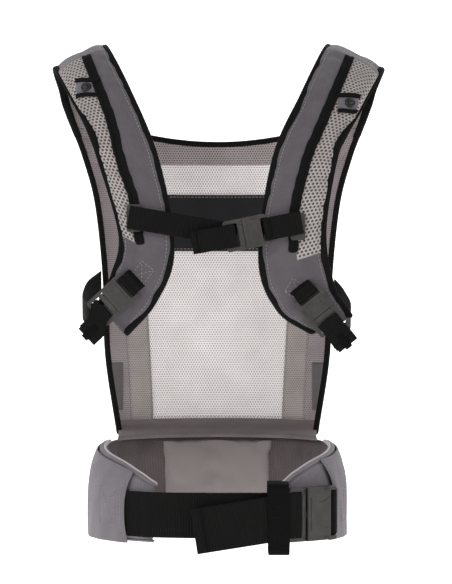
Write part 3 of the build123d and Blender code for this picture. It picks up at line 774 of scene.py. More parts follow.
def makePanel():
    body = panelPatch("bodyMesh", panel["foot"], panel["top"], lambda z: 0.0025 - panelHalf(z),
                      lambda z: panelHalf(z) - 0.0025, 1.2 * mm, bodyMesh, panel["thick"], panel["rows"],
                      panel["columns"])
    settle(body, "carrier", ["body_panel"])

    # second layers on the wearer's side
    strips = [
        panelPatch("topStrip", 0.441, panel["top"], lambda z: -panelHalf(z) + 0.003,
                   lambda z: panelHalf(z) - 0.003, 2.9 * mm, topMesh, 0.8 * mm, 12, 60),
        panelPatch("neckBand", 0.338, 0.405, lambda z: -0.060, lambda z: 0.060, 3.0 * mm, darkTwill,
                   1.2 * mm),
    ]
    settle(strips[0], "carrier")
    settle(strips[1], "carrier", ["neck_band"])
    gussets = []
    for sign in (-1, 1):
        outer = smoothLine([(0.104, 0.148), (0.112, 0.300), (0.118, 0.420), (0.121, 0.455)], 60)

        def edge(z, inward=0.0):
            return sign * (float(np.interp(z, outer[:, 1], outer[:, 0])) - inward)

        gussets.append(panelPatch("gusset", 0.123, 0.445, lambda z: edge(z, panel["gussetWide"]), edge,
                                  2.9 * mm, gussetMesh, 0.8 * mm, 60, 8))
        gussets.append(panelPatch("sideMesh", 0.123, 0.470, edge, lambda z: sign * (panelHalf(z) - 0.003),
                                  2.9 * mm, sideMesh, 0.8 * mm, 60, 10))
        gussets.append(panelPatch("sidePatch", 0.150, 0.206, lambda z: sign * 0.114,
                                  lambda z: sign * (panelHalf(z) - 0.002), 3.6 * mm, patchTwill,
                                  0.9 * mm, 16, 10))
    settle(joined("sideGussets", gussets), "carrier", ["panel_gussets"])

    # tape bound over the top and side edges
    topLine = [(x, panelTop(x) - 0.002) for x in np.linspace(-0.118, 0.118, 70)]
    line, towards = panelLine(topLine, 2.0 * mm)
    tape = sweep("topTape", line - np.array([0, 0, 1.4 * mm]), (0, 0, 1), towards, panel["tape"], 6.0 * mm,
                 blackTape, 3)
    settle(tape, "carrier", ["panel_top_binding"], levels=1)
    tapes = []
    for sign in (-1, 1):
        sideLine = [(sign * (panelHalf(z) - 0.002), z) for z in np.linspace(0.121, 0.480, 60)]
        line, towards = panelLine(sideLine, 2.0 * mm)
        across = unit(np.cross(alongLine(line), towards))
        tapes.append(sweep("sideTape", line, across, towards, 7.0 * mm, 5.8 * mm, blackTape, 3))
    settle(joined("sideTapes", tapes), "carrier", ["panel_edge_bindings"], levels=1)

    # cloth that turns over the seam between the mesh and the belt, and the stitching
    columns, steps, verts, uvs = 70, 16, [], []
    for x in np.linspace(-0.1195, 0.1195, columns):
        path = [onPanel(x, z, inset * mm)[0] for z, inset in ((0.1385, 3.4), (0.132, 4.0), (0.1262, 4.4))]
        path += [onLining(x * 0.985, z, inset * mm)[0] for z, inset in ((0.121, 3.0), (0.1165, 1.4))]
        for run, p in enumerate(smoothLine(path, steps)):
            verts.append(p)
            uvs.append((x, run * 4 * mm))
    faces = [(i * steps + j, i * steps + j + 1, (i + 1) * steps + j + 1, (i + 1) * steps + j)
             for i in range(columns - 1) for j in range(steps - 1)]
    cover = newPiece("rimCover", verts, faces, uvs, [footCloth])
    thickness(cover, 1.0 * mm)
    settle(cover, "carrier", levels=1)
    seams = [panelLine([(x, 0.1405) for x in np.linspace(-0.112, 0.112, 70)], 4.6 * mm)]
    for sign in (-1, 1):
        dart = smoothLine([(0.083 * sign, 0.124), (0.087 * sign, 0.165), (0.092 * sign, 0.215)], 30)
        seams.append(panelLine(dart, 2.9 * mm))
        for inward in (1.5, 24.5):
            outer = smoothLine([(0.104, 0.130), (0.112, 0.300), (0.118, 0.420), (0.121, 0.455)], 60)
            seams.append(panelLine([((x - inward * mm) * sign, z) for x, z in outer], 3.4 * mm))
    for z in (0.3405, 0.4025):
        seams.append(panelLine([(x, z) for x in np.linspace(-0.058, 0.058, 40)], 3.7 * mm))
    seams.append(panelLine([(x, 0.4435) for x in np.linspace(-0.145, 0.145, 80)], 3.5 * mm))
    settle(stitches("panelStitching", seams, greyThread), "carrier")
    topSeam = [panelLine([(x, panelTop(x) - 0.0065) for x in np.linspace(-0.116, 0.116, 70)], 3.3 * mm)]
    settle(stitches("topStitching", topSeam, blackThread), "carrier")


# the first colour given to each mesh is painted shade for the inside of its holes
gussetMesh = knittedMesh("gussetMesh", "#4a4443", "#857c78", "#aaa29f", spacing=2.6, size=0.26, depth=0.3)
patchTwill = wovenCloth("patchTwill", "#3f3b3c", "#5c5758", spacing=1.4)
footCloth = knittedMesh("footCloth", "#3d3636", "#5c5353", "#766c6c", spacing=2.4, size=0.25, depth=0.25)


label = {"half": 0.062, "low": 0.047, "high": 0.116}


def onLining(x, z, lift=0.0):
    # inside face of the belt's front, with its direction towards the wearer
    up = (z - 0.013) / 0.110
    a = 0.144 - 0.009 * up - 0.0125
    b = 0.118 - 0.009 * up - 0.0125
    y = b * math.sqrt(max(0.0, 1 - (x / a) ** 2))
    towards = unit(np.array([-x / a ** 2, -y / b ** 2, 0.0]))
    return np.array([x, y, z]) + towards * lift, towards


def makeLabel(surface):
    # satin care label, left blank
    columns, rows = 44, 26
    verts, uvs = [], []
    for i in range(rows):
        for j in range(columns):
            x = label["half"] * (2 * j / (columns - 1) - 1)
            z = label["low"] + (label["high"] - label["low"]) * i / (rows - 1)
            place, towards = onLining(x, z, 0)
            verts.append(place + towards * 6 * mm)
            uvs.append((x, z))
    placed, out = surface.lay(verts, 0)
    out = np.array([onLining(*uv, 0)[1] for uv in uvs])
    for n in range(len(placed)):
        i, j = n // columns, n % columns
        edge = min(i, rows - 1 - i, j, columns - 1 - j)
        ripple = 0.5 * math.sin(j * 0.7 + 1.3) * math.sin(i * 0.45 + 0.4) * min(1, edge / 4)
        placed[n] += out[n] * (0.7 + 0.5 * min(1, edge / 3) + ripple * 0.5) * mm
    faces = [(i * columns + j, i * columns + j + 1, (i + 1) * columns + j + 1, (i + 1) * columns + j)
             for i in range(rows - 1) for j in range(columns - 1)]
    piece = newPiece("careLabel", placed, faces, uvs, [labelSatin])
    thickness(piece, 0.4 * mm)
    settle(piece, "carrier", ["care_label"])
    grid = placed.reshape(rows, columns, 3) + out.reshape(rows, columns, 3) * 0.5 * mm
    turned = out.reshape(rows, columns, 3)
    lines = [(grid[row], turned[row]) for row in (1, -2)]
    lines += [(grid[:, column], turned[:, column]) for column in (1, -2)]
    settle(stitches("labelStitching", lines, greyThread), "carrier")


labelSatin = ribbedTape("labelSatin", "#6a6261", "#857d7c", 0.9, 0.9, 0.03, roughness=0.42, sheen=0.3)
makePanel()
print("body panel made")
makeLabel(beltSurface)
print("care label made")


strap = {
    "profile": [(-108, 235), (-113, 305), (-110, 375), (-95, 445), (-60, 515), (5, 567), (75, 505),
                (95, 445)],
    "slope": 0.45, "middle": 135.0, "thick": 12 * mm, "rows": 120, "columns": 16, "railColumn": 9,
    "bindingWide": 8.6 * mm, "bindingThick": 6.6 * mm, "railWide": 4.4 * mm, "railThick": 3.2 * mm,
    # the flat tape by the rail is drawn wider than the real tape; the extra black is painted shadow
    "shadowTapeWide": 10.5 * mm, "shadowTapeIn": 3.6 * mm,
    "tabWide": 27 * mm, "tabHigh": 9.5 * mm, "barHigh": 4.6 * mm,
}
# pattern edges from the buckle end up to the shoulder, then down to the panel's corner,
# in millimetres out from the middle and up; the crest is where the strap turns over
strapCuts = {
    "left": {
        "sign": -1, "inner": [(99, 240), (66, 279), (47, 335), (64, 434), (98, 517)], "crestInner": 127,
        "outer": [(130, 277), (115, 309), (107, 352), (131, 435), (150, 481)], "crestOuter": 187,
        "rail": [(87, 338), (92, 382), (109, 435), (121, 481), (154, 563)],
        "meshFrom": 343, "snap": (144, 513), "box": (82, 309, 17, 22, 38),
    },
    "right": {
        "sign": 1, "inner": [(104, 242), (66, 269), (46, 325), (61, 434), (92, 506)], "crestInner": 125,
        "outer": [(149, 262), (128, 297), (119, 355), (132, 435), (147, 468)], "crestOuter": 190,
        "rail": [(87, 332), (88, 378), (102, 435), (116, 468), (155, 560)],
        "meshFrom": 324, "snap": (146, 495), "box": (88, 291, 22, 17, -30),
    },
}
yokeInner = [(112, 520), (94, 468)]
yokeOuter = [(181, 515), (164, 468)]
profileLine = smoothLine(strap["profile"], 800)
crestAt = int(np.argmax(profileLine[:, 1]))


def onStrap(x, z, back=True):
    # middle of the strap's padding at a place on its front view, as (out, y, z)
    level = z + strap["slope"] * (x - strap["middle"])
    if back:
        y = np.interp(level, profileLine[:crestAt, 1], profileLine[:crestAt, 0])
    else:
        y = np.interp(-level, -profileLine[crestAt:, 1], profileLine[crestAt:, 0])
    return (x, float(y), z)


def onCrest(x):
    y, z = profileLine[crestAt]
    return (x, float(y), float(z - strap["slope"] * (x - strap["middle"])))


def makeStrap(side):
    cut = strapCuts[side]
    sign = cut["sign"]
    rows, columns, k = strap["rows"], strap["columns"], strap["railColumn"]
    mirror = np.array([sign, 1, 1]) * mm
    edgeIn = smoothLine([onStrap(*p) for p in cut["inner"]] + [onCrest(cut["crestInner"])]
                        + [onStrap(*p, back=False) for p in yokeInner], rows) * mirror
    edgeOut = smoothLine([onStrap(*p) for p in cut["outer"]] + [onCrest(cut["crestOuter"])]
                         + [onStrap(*p, back=False) for p in yokeOuter], rows) * mirror
    railLine = smoothLine([onStrap(*p) for p in cut["rail"]], 80) * mirror
    crestRow = int(np.argmax(edgeIn[:, 2]))

    # where the rail lies across each row
    found = []
    for p in railLine:
        best = min(range(crestRow + 1), key=lambda i: distanceToRow(p, edgeIn[i], edgeOut[i])[0])
        found.append((best, distanceToRow(p, edgeIn[best], edgeOut[best])[1]))
    found.sort()
    railAcross = np.interp(range(rows), [f[0] for f in found], [f[1] for f in found])

    middle = np.zeros((rows, columns + 1, 3))
    steps = np.zeros((rows, columns + 1))
    for i in range(rows):
        r = railAcross[i]
        for j in range(columns + 1):
            t = r * j / k if j < k else r + (1 - r) * (j - k) / (columns - k)
            steps[i, j] = t
            middle[i, j] = edgeIn[i] * (1 - t) + edgeOut[i] * t
    # rows that turn across the strap are pulled back to its rounded side view
    for i in range(rows):
        for j in range(1, columns):
            x, y, z = middle[i, j] / mirror
            if i < crestRow - 3:
                middle[i, j] = np.array(onStrap(x, z)) * mirror
    # the front end bends to lie on the panel's corner
    for i in range(crestRow + 1, rows):
        for j in range(columns + 1):
            x, y, z = middle[i, j]
            near = min(1.0, max(0.0, (0.530 - z) / 0.048))
            near = near * near * (3 - 2 * near)
            target = onPanel(abs(x), min(z, 0.480), 3.4 * mm)[0]
            middle[i, j][1] = y * (1 - near) + target[1] * near
    edgeIn, edgeOut = middle[:, 0], middle[:, -1]
    normals = unit(np.cross(np.gradient(middle, axis=1), np.gradient(middle, axis=0)))
    if normals[rows // 4, k][1] > 0:
        normals = -normals
    capRow = crestRow - 5
    wide = np.linalg.norm(edgeOut - edgeIn, axis=1)
    outer, inner = middle.copy(), middle.copy()
    along = np.repeat(distanceAlong(middle[:, k])[:, None], columns + 1, axis=1)
    random = np.random.default_rng(7 if sign < 0 else 8)
    phase = random.uniform(0, 6.28, 4)
    for i in range(rows):
        taper = min(1.0, 0.3 + 0.7 * along[i][0] / (34 * mm))
        if i > crestRow:
            taper = max(0.35, 1 - 0.65 * (i - crestRow) / 12)
        for j in range(1, columns):
            if j <= k:
                w, bases = j / k, (1.8, 5.0)
            else:
                w, bases = (j - k) / (columns - k), (5.0, 1.8)
            base = bases[0] * (1 - w) + bases[1] * w
            fromEdge = min(j, columns - j)
            half = base + (6.4 - base) * (1 - abs(2 * w - 1) ** 3) ** 0.5
            single = 6.8 * (1 - abs(2 * j / columns - 1) ** 3) ** 0.5       # one crown over the shoulder
            split = min(1.0, max(0.0, (capRow - 2 - i) / 9))
            half = (half * split + single * (1 - split)) * taper
            half = min(half, (2.0, 3.9, 5.4)[fromEdge - 1]) if fromEdge < 4 else half
            ripple = 0.30 * math.sin(along[i][0] / mm / 7.5 + phase[0] + 2.2 * w) \
                * math.sin(along[i][0] / mm / 17 + phase[1]) * (1 if j < k else 0.35)
            outer[i, j] = middle[i, j] + normals[i, j] * (half + ripple) * mm
            inner[i, j] = middle[i, j] - normals[i, j] * half * 0.9 * mm
    across = steps * wide[:, None]
    meshRow = int(np.argmin(np.abs(middle[:crestRow, k, 2] - cut["meshFrom"] * mm)))

    def outerKind(i, j):
        if i >= crestRow + 10:
            return 3
        if i >= capRow:
            return 2
        return 1 if j >= k and i >= meshRow else 0

    pad, top = padMesh(f"shoulderStrap_{side}", outer, inner, across, along,
                       [greyTwill, strapMesh, capTwill, yokeMesh, liningMesh], outerKind,
                       lambda i, j: 3 if i >= crestRow + 4 else 4)
    held = set(top[0]) | set(top[-1]) | set(top[:, 0]) | set(top[:, -1]) | set(top[: crestRow, k])
    puff(pad, held, growth=0.012, cap=2.6)
    settle(pad, "carrier",
           [f"strap_{n}_{side}" for n in ("cover", "foam", "lining", "yoke")], levels=1)
    surface = Surface(pad)

    # bindings round both edges and across the buckle end
    bands = []
    for edge, other, column in ((edgeIn, edgeOut, 1), (edgeOut, edgeIn, columns - 1)):
        towards = unit(other - edge)
        line = edge + towards * strap["bindingWide"] * 0.37
        bands.append(sweep("band", line, towards, normals[:, column],
                           strap["bindingWide"], strap["bindingThick"], blackTape, 2.6))
    end = smoothLine([edgeIn[0] * (1 - t) + edgeOut[0] * t for t in np.linspace(0, 1, 5)], 16)
    inward = unit(middle[4, k] - middle[0, k])
    bands.append(sweep("band", end + inward * 2.0 * mm, inward, normals[1, k],
                       5.6 * mm, 4.4 * mm, greyTwill, 2.6))
    binding = joined(f"strapBinding_{side}", bands)
    settle(binding, "carrier", [f"strap_bindings_{side}"], levels=1)

    # rail that the chest strap's slider climbs, on a wide flat black tape that is partly real tape and partly
    # painted shadow along the rail
    railRows = [i for i in range(capRow + 1) if middle[i, k, 2] >= cut["rail"][0][1] * mm]
    line, out = surface.lay([middle[i, k] + normals[i, k] * 7 * mm for i in railRows], 0.9 * mm)
    beside = unit(np.cross(out, alongLine(line)))
    rail = sweep("rail", line, beside, out, strap["railWide"], strap["railThick"], blackTape, 2.2)
    # flat black tape beside the rail, as wide as the dark band there: partly real tape, partly painted shadow
    inward = unit(edgeIn[railRows] - edgeOut[railRows])
    shadowTapeRows = [middle[i, k] + n * strap["shadowTapeIn"] + normals[i, k] * 8 * mm
                for i, n in zip(railRows, inward)]
    flat, flatOut = surface.lay(shadowTapeRows, 0.5 * mm)
    beside = unit(np.cross(flatOut, alongLine(flat)))
    tape = sweep("railTapeAndShadow", flat, beside, flatOut, strap["shadowTapeWide"], 1.6 * mm, blackTape, 6, 16)
    rail = joined(f"strapRailAndShadow_{side}", [rail, tape])
    settle(rail, "carrier", [f"strap_rail_{side}"], levels=1)

    # seams: beside the rail, at the cap, and the box and cross on the end patch
    lines = []
    for column, shift in ((1, 3.4), (columns - 1, -3.4)):
        points = [middle[i, column] + unit(edgeOut[i] - edgeIn[i]) * shift * mm + normals[i, column] * 6 * mm
                  for i in range(3, capRow)]
        lines.append(surface.lay(points, 0.15 * mm))
    for shift in (0, 2):
        points = [middle[capRow + shift, j] + normals[capRow + shift, j] * 6 * mm for j in range(1, columns)]
        lines.append(surface.lay(points, 0.15 * mm))
    points = [middle[meshRow, j] + normals[meshRow, j] * 6 * mm for j in range(k, columns)]
    lines.append(surface.lay(points, 0.15 * mm))
    # box and cross that holds the buckle's webbing inside the strap's end
    x, z, wideBox, highBox, tilt = cut["box"]
    turn = Matrix.Rotation(math.radians(tilt), 2)
    corners = [turn @ Vector((a * wideBox / 2, b * highBox / 2))
               for a, b in ((-1, -1), (1, -1), (1, 1), (-1, 1))]
    for a, b in ((0, 1), (1, 2), (2, 3), (3, 0), (0, 2), (1, 3)):
        path = [np.array(onStrap(x + (corners[a].x * (1 - t) + corners[b].x * t),
                                 z + (corners[a].y * (1 - t) + corners[b].y * t))) * mirror
                - (0, 8 * mm, 0) for t in np.linspace(0, 1, 12)]
        lines.append(surface.lay(path, 0.15 * mm))
    settle(stitches(f"strapStitching_{side}", lines, greyThread), "carrier")
    return {"surface": surface, "middle": middle, "normals": normals, "sign": sign}


def distanceToRow(p, a, b):
    t = float(np.clip(np.dot(p - a, b - a) / np.dot(b - a, b - a), 0.05, 0.95))
    return float(np.linalg.norm(a + (b - a) * t - p)), t


straps = {side: makeStrap(side) for side in strapCuts}
print("shoulder straps made")


def strapPatch(name, side, middleAt, wide, high, lift, material, thick, nodes=(), crown=0.0):
    # flat piece sewn on the strap's back: middleAt is (out, up) on the front view
    made = straps[side]
    x, z = middleAt
    columns, rows = 16, 12
    points = []
    for i in range(rows):
        for j in range(columns):
            px = x + (j / (columns - 1) - 0.5) * wide / mm
            pz = z + (i / (rows - 1) - 0.5) * high / mm
            points.append(np.array(onStrap(px, pz)) * np.array([made["sign"], 1, 1]) * mm)
    spot = points[len(points) // 2]
    near = np.linalg.norm(made["middle"] - spot, axis=2)
    normal = made["normals"][np.unravel_index(np.argmin(near), near.shape)]
    placed, out = made["surface"].lay([p + normal * 8 * mm for p in points], lift)
    uvs = [((i % columns) / (columns - 1) * wide, (i // columns) / (rows - 1) * high)
           for i in range(len(points))]
    if crown:
        for n in range(len(points)):
            i, j = n // columns, n % columns
            placed[n] += out[n] * crown * (1 - abs(2 * j / (columns - 1) - 1) ** 4) \
                * (1 - abs(2 * i / (rows - 1) - 1) ** 4)
    faces = [(i * columns + j, i * columns + j + 1, (i + 1) * columns + j + 1, (i + 1) * columns + j)
             for i in range(rows - 1) for j in range(columns - 1)]
    piece = newPiece(name, placed, faces, uvs, [material])
    thickness(piece, thick)
    settle(piece, "carrier", nodes, levels=1)
    return placed, out


def lathe(name, outline, place, direction, material, sides=32):
    # turned shape from (radius, height) points in millimetres
    turn = Vector((0, 0, 1)).rotation_difference(Vector(direction)).to_matrix()
    verts, faces = [], []
    for r, h in outline:
        for s in range(sides):
            a = 2 * math.pi * s / sides
            verts.append(np.array(turn @ Vector((r * math.cos(a), r * math.sin(a), h))) * mm + place)
    for i in range(len(outline) - 1):
        for s in range(sides):
            n = (s + 1) % sides
            faces.append((i * sides + s, i * sides + n, (i + 1) * sides + n, (i + 1) * sides + s))
    faces.append(tuple(range(sides))[::-1])
    faces.append(tuple(range((len(outline) - 1) * sides, len(outline) * sides)))
    return newPiece(name, verts, faces, None, [material])


def makeSnap(side):
    cut = strapCuts[side]
    x, z = cut["snap"]
    strapPatch(f"snapTab_{side}", side, (x, z), strap["tabWide"], strap["tabHigh"] * 1.5, 0.3 * mm,
               capTwill, 1.4 * mm, [f"snap_tab_{side}"], crown=0.2 * mm)
    for number, up in (("Upper", 8.6), ("Lower", -8.6)):
        strapPatch(f"tabBar{number}_{side}", side, (x, z + up), strap["tabWide"] * 1.04, strap["barHigh"],
                   2.0 * mm, blackTape, 1.6 * mm)
    mount = [m for m in frame["record"]["mounts"] if m["name"] == f"hood_snap_{side}"][0]
    axis = unit(mount["axis"])
    seat = np.array(mount["pos_m"]) - axis * 1.9 * mm
    outline = [(5.9, -1.2), (6.0, 0.2), (5.7, 1.0), (5.2, 1.3), (4.2, 1.35), (3.9, 1.1), (3.35, 1.1),
               (3.0, 1.4),
               (3.0, 4.0), (2.8, 4.3), (2.3, 4.4), (1.9, 4.1), (1.7, 3.4), (0.4, 3.3)]
    snap = lathe(f"hoodSnap_{side}", outline, seat, axis, snapPaint)
    settle(snap, "carrier", [f"snap_stud_{side}"])


for snapSide in straps:
    makeSnap(snapSide)
print("hood snaps made")


webbing = {"wide": 50 * mm, "narrow": 25 * mm, "thick": 1.7 * mm}


def buckleFrame(name):
    # origin, way out, way across and outward face of a buckle, from its joints
    release = [j for j in frame["record"]["behaviour"]["joints"] if j["name"] == f"{name}_release"][0]
    roots = [[j for j in frame["record"]["behaviour"]["joints"] if j["name"] == f"{name}_squeeze_{p}"][0]
             for p in "ab"]
    pull = unit(release["axis"])
    face = unit(roots[0]["axis"])
    middle = (np.array(roots[0]["pos_m"]) + np.array(roots[1]["pos_m"])) / 2 - pull * 2.9 * mm
    return {"at": middle, "pull": pull, "across": unit(np.cross(face, pull)), "face": face}


buckles = {name: buckleFrame(name) for name in ("waist", "chest", "shoulder_left", "shoulder_right")}


def inBuckle(name, x, y=0.0, z=0.0):
    # place given in millimetres along, across and out of a buckle
    b = buckles[name]
    return b["at"] + (b["pull"] * x + b["across"] * y + b["face"] * z) * mm


def turnedAbout(points, pivot, aboutX=0.0, aboutY=0.0):
    turn = Matrix.Rotation(math.radians(aboutY), 3, "Y") @ Matrix.Rotation(math.radians(aboutX), 3, "X")
    return np.array([np.array(turn @ Vector(p - pivot)) + pivot for p in points])


def ribbonAlong(name, plan, height, width, material, tip=(0, 0), pivot=None, count=60, sag=0.0, thick=None):
    # upright webbing along a line in plan, at the height of its middle, then tipped; a slight
    # ripple keeps it from lying like sheet metal
    flat = smoothLine([(x, y) for x, y in plan], count)
    line = np.array([(x, y, height) for x, y in flat])
    run = distanceAlong(line)
    way = alongLine(line)
    outward = unit(np.cross(way, (0, 0, 1)))
    line += outward * (0.35 * mm * np.sin(run / 0.013 + 0.8))[:, None] * min(1, run[-1] / 0.06)
    line[:, 2] -= sag * np.sin(np.pi * run / run[-1])
    upright = np.tile(np.array([0, 0, 1.0]), (count, 1))
    if pivot is not None:
        pivot = np.array(pivot)
        ends = turnedAbout(line + upright * 0.01, pivot, *tip)
        line = turnedAbout(line, pivot, *tip)
        upright = unit(ends - line)
    out = unit(np.cross(alongLine(line), upright))
    return sweep(name, line, upright, out, width, thick or webbing["thick"], material, 9, 16)


def foldRound(name, buckle, start, end, width, material, gap=0.25):
    # webbing folded round a buckle's bar between two places along it
    low = (1.6 + gap) * mm + webbing["thick"] / 2
    a, b = (start - 0.25) * mm - webbing["thick"] / 2, (end + 0.25) * mm + webbing["thick"] / 2
    corner = 1.2 * mm
    path = [(a, -low + corner), (a, low - corner), (a + corner, low), (b - corner, low), (b, low - corner),
            (b, -low + corner), (b - corner, -low), (a + corner, -low)]
    frameOf = buckles[buckle]
    points = np.array([frameOf["at"] + frameOf["pull"] * x + frameOf["face"] * z for x, z in path])
    loop = smoothLine(points, 48)
    way = unit(np.roll(loop, -1, axis=0) - np.roll(loop, 1, axis=0))
    out = unit(np.cross(way, frameOf["across"]))
    loop = np.vstack([loop, loop[:1]])
    out = np.vstack([out, out[:1]])
    return sweep(name, loop, frameOf["across"], out, width, webbing["thick"], material, 9, 16, caps=False)


def makeWaistWebbing():
    wide = webbing["wide"]
    high = buckles["waist"]["at"][2]
    a, b = 0.1451, 0.1191       # oval just outside the belt
    plan = [(x, -b * math.sqrt(1 - (x / a) ** 2)) for x in (-0.124, -0.112, -0.098, -0.084, -0.072)]
    plan += [(-0.020, -0.1118), (0.040, -0.1120), (0.0747, -0.1076), (0.0840, -0.1006)]
    long = ribbonAlong("waistWebbingLong", plan, high, wide, blackWebbing, count=110)
    settle(long, None, ["waist_webbing_long"])
    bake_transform(long)

    start = inBuckle("waist", -43)
    plan = [(start[0], start[1]), (0.1331, -0.057)]
    a, b = 0.1454, 0.1194
    plan += [(a * math.sqrt(1 - (y / b) ** 2), y) for y in (-0.044, -0.028, -0.010)]
    short = ribbonAlong("waistWebbingShort", plan, high, wide, blackWebbing, count=40)
    turn = foldRound("shortTurn", "waist", -42, -38.5, wide, blackWebbing)
    settle(joined("waistWebbingShort", [short, turn]), "carrier", ["waist_webbing_short"])

    # tail: round the ladder bar, over the outer bar and hanging in front, hemmed at its end
    turn = foldRound("tailTurn", "waist", 11.5, 15.0, wide, blackWebbing)
    over = np.array([inBuckle("waist", x, 0, z) for x, z in ((10, 4.1), (15, 4.1), (20, 4.2), (25, 4.0))])
    pivot = (0.0784, -0.1174, high)
    plan = [(0.0784, -0.1174), (0.066, -0.122), (0.045, -0.1242), (0.010, -0.1249), (-0.026, -0.1236)]
    flat = np.array([(x, y, high) for x, y in plan])
    tipped = turnedAbout(flat, np.array(pivot), 0, -9)
    path = smoothLine(list(over) + list(tipped[1:]), 90)
    run = distanceAlong(path)
    lean = np.clip((run - 0.016) / 0.03, 0, 1)[:, None]
    leaned = np.array(turnedAbout(np.array([[0, 0, 0.01]]), np.zeros(3), 0, -9)[0]) * 100
    upright = unit(np.array([0, 0, 1.0]) * (1 - lean) + leaned * lean)
    way = alongLine(path)
    out = unit(np.cross(way, upright))
    if np.mean(out[:, 1]) > 0:
        out = -out
    path += out * (0.5 * mm * np.sin(run / 0.017))[:, None] * lean
    tail = sweep("tail", path, upright, out, wide, webbing["thick"], blackWebbing, 9, 16)
    hem = sweep("hem", path[-9:] + out[-9:] * webbing["thick"] * 0.95, upright[-9:], out[-9:], wide * 0.995,
                webbing["thick"] * 0.9, blackWebbing, 9, 16)
    settle(joined("waistWebbingTail", [turn, tail, hem]), "waist_male",
           ["waist_webbing_tail"])
    row = path[-9] + out[-9] * (webbing["thick"] * 1.45)
    line = np.array([row + upright[-9] * t for t in np.linspace(-0.023, 0.023, 20)])
    line2 = line + way[-9] * 0.003
    settle(stitches("tailStitching", [(line, out[-9]), (line2, out[-9])], blackThread), "waist_male")


def makeChestWebbing():
    narrow = webbing["narrow"]
    seat = {side: slideFront(side) for side in straps}
    left, right = seat["left"], seat["right"]
    y = left[1] - 1.5 * mm
    plan = [(left[0] - 0.006, y + 0.0004), (left[0] + 0.012, y), (-0.040, -0.1224), (0.0235, -0.1189)]
    long = ribbonAlong("chestWebbingLong", plan, left[2], narrow, blackWebbing, (0, 9.5),
                       (left[0], y, left[2]), count=80)
    settle(long, None, ["chest_webbing_long"])
    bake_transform(long)

    end = inBuckle("chest", -28)
    y = right[1] - 1.5 * mm
    plan = [(end[0], end[1]), (0.070, -0.126), (right[0] - 0.008, y), (right[0] + 0.005, y)]
    short = ribbonAlong("chestShort", plan, end[2], narrow, blackWebbing, (0, -11.2), tuple(end), count=40)
    turn = foldRound("chestTurn", "chest", -27, -23.8, narrow, blackWebbing)
    settle(joined("chestWebbingShort", [short, turn]), "chest_right",
           ["chest_webbing_short"])

    turn = foldRound("ladderTurn", "chest", 10.9, 14.1, narrow, blackWebbing)
    over = [inBuckle("chest", x, 0, 4.2) for x in (9.5, 14, 18)]
    pivot = np.array((0.010, -0.1296, 0.3485))
    flat = np.array([(0.002, -0.1306, 0.3485), (-0.012, -0.1313, 0.3485), (-0.0275, -0.1300, 0.3485)])
    path = smoothLine(over + list(turnedAbout(flat, pivot, 0, -10)), 60)
    run = distanceAlong(path)
    first = buckles["chest"]["across"] * (1 if buckles["chest"]["across"][2] > 0 else -1)
    leaned = turnedAbout(np.array([[0, 0, 1.0]]), np.zeros(3), 0, -10)[0]
    lean = np.clip((run - 0.010) / 0.016, 0, 1)[:, None]
    upright = unit(first * (1 - lean) + leaned * lean)
    out = unit(np.cross(alongLine(path), upright))
    if np.mean(out[:, 1]) > 0:
        out = -out
    tail = sweep("chestTail", path, upright, out, narrow, webbing["thick"], blackWebbing, 9, 16)
    hem = sweep("chestHem", path[-8:] + out[-8:] * webbing["thick"] * 0.9, upright[-8:], out[-8:],
                narrow * 0.99, webbing["thick"] * 0.85, blackWebbing, 9, 16)
    settle(joined("chestWebbingTail", [turn, tail, hem]), "chest_male",
           ["chest_webbing_tail"])


def slideFront(side):
    # front of the chest strap's slider on each rail
    low, high = (np.array(v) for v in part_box(f"chest_slider_{side}"))
    middle = (low + high) / 2
    return np.array([middle[0], low[1] - 0.2 * mm, middle[2]])


makeWaistWebbing()
makeChestWebbing()
print("waist and chest webbing made")


hardware = {
    "bevel": 0.7 * mm, "ridges": 4,
    "narrow": {"female": 27, "half": 17, "thick": 8, "plate": 4.5, "base": 6.4, "slot": 4.5, "bar": 3.2},
    "wide": {"female": 42, "half": 29.5, "thick": 11, "plate": 5.5, "base": 6.5, "slot": 5.0, "bar": 3.5},
}


def fromCad(name, node, material, bevel):
    # the moulded part's own shape with its edges eased, as moulding leaves them
    mesh = frame["nodes"][node].data.copy()
    mesh.name = name
    work = bmesh.new()
    work.from_mesh(mesh)
    bmesh.ops.remove_doubles(work, verts=work.verts, dist=0.00001)
    bmesh.ops.dissolve_limit(work, angle_limit=math.radians(1.5), verts=work.verts, edges=work.edges)
    work.to_mesh(mesh)
    work.free()
    mesh.materials.clear()
    mesh.materials.append(material)
    piece = bpy.data.objects.new(name, mesh)
    bpy.context.scene.collection.objects.link(piece)
    modifier = piece.modifiers.new("edges", "BEVEL")
    modifier.width, modifier.segments, modifier.limit_method = bevel, 3, "ANGLE"
    modifier.angle_limit, modifier.use_clamp_overlap = math.radians(30), True
    for polygon in piece.data.polygons:
        polygon.use_smooth = True
    modifier = piece.modifiers.new("shading", "WEIGHTED_NORMAL")
    modifier.weight, modifier.keep_sharp = 100, True
    bakeModifiers(piece)
    return piece


def raisedShape(outline, low, high, place, material, ease=0.35):
    # moulded raised part: an outline in buckle millimetres, with an eased top edge
    middle = np.mean(outline, axis=0)
    outline = np.array(outline, float)
    levels = [(0.0, low), (0.0, high - ease), (ease * 0.35, high - ease * 0.3), (ease, high)]
    verts, count = [], len(outline)
    for inward, z in levels:
        for p in outline:
            away = p - middle
            size = np.linalg.norm(away)
            q = middle + away * max(0.0, (size - inward)) / size
            verts.append(place(q[0], q[1], z))
    faces = []
    for i in range(len(levels) - 1):
        for k in range(count):
            n = (k + 1) % count
            faces.append((i * count + k, i * count + n, (i + 1) * count + n, (i + 1) * count + k))
    faces.append(tuple(range(count))[::-1])
    faces.append(tuple(range((len(levels) - 1) * count, len(levels) * count)))
    piece = newPiece("raised", verts, faces, None, [material], smooth=False)
    return piece


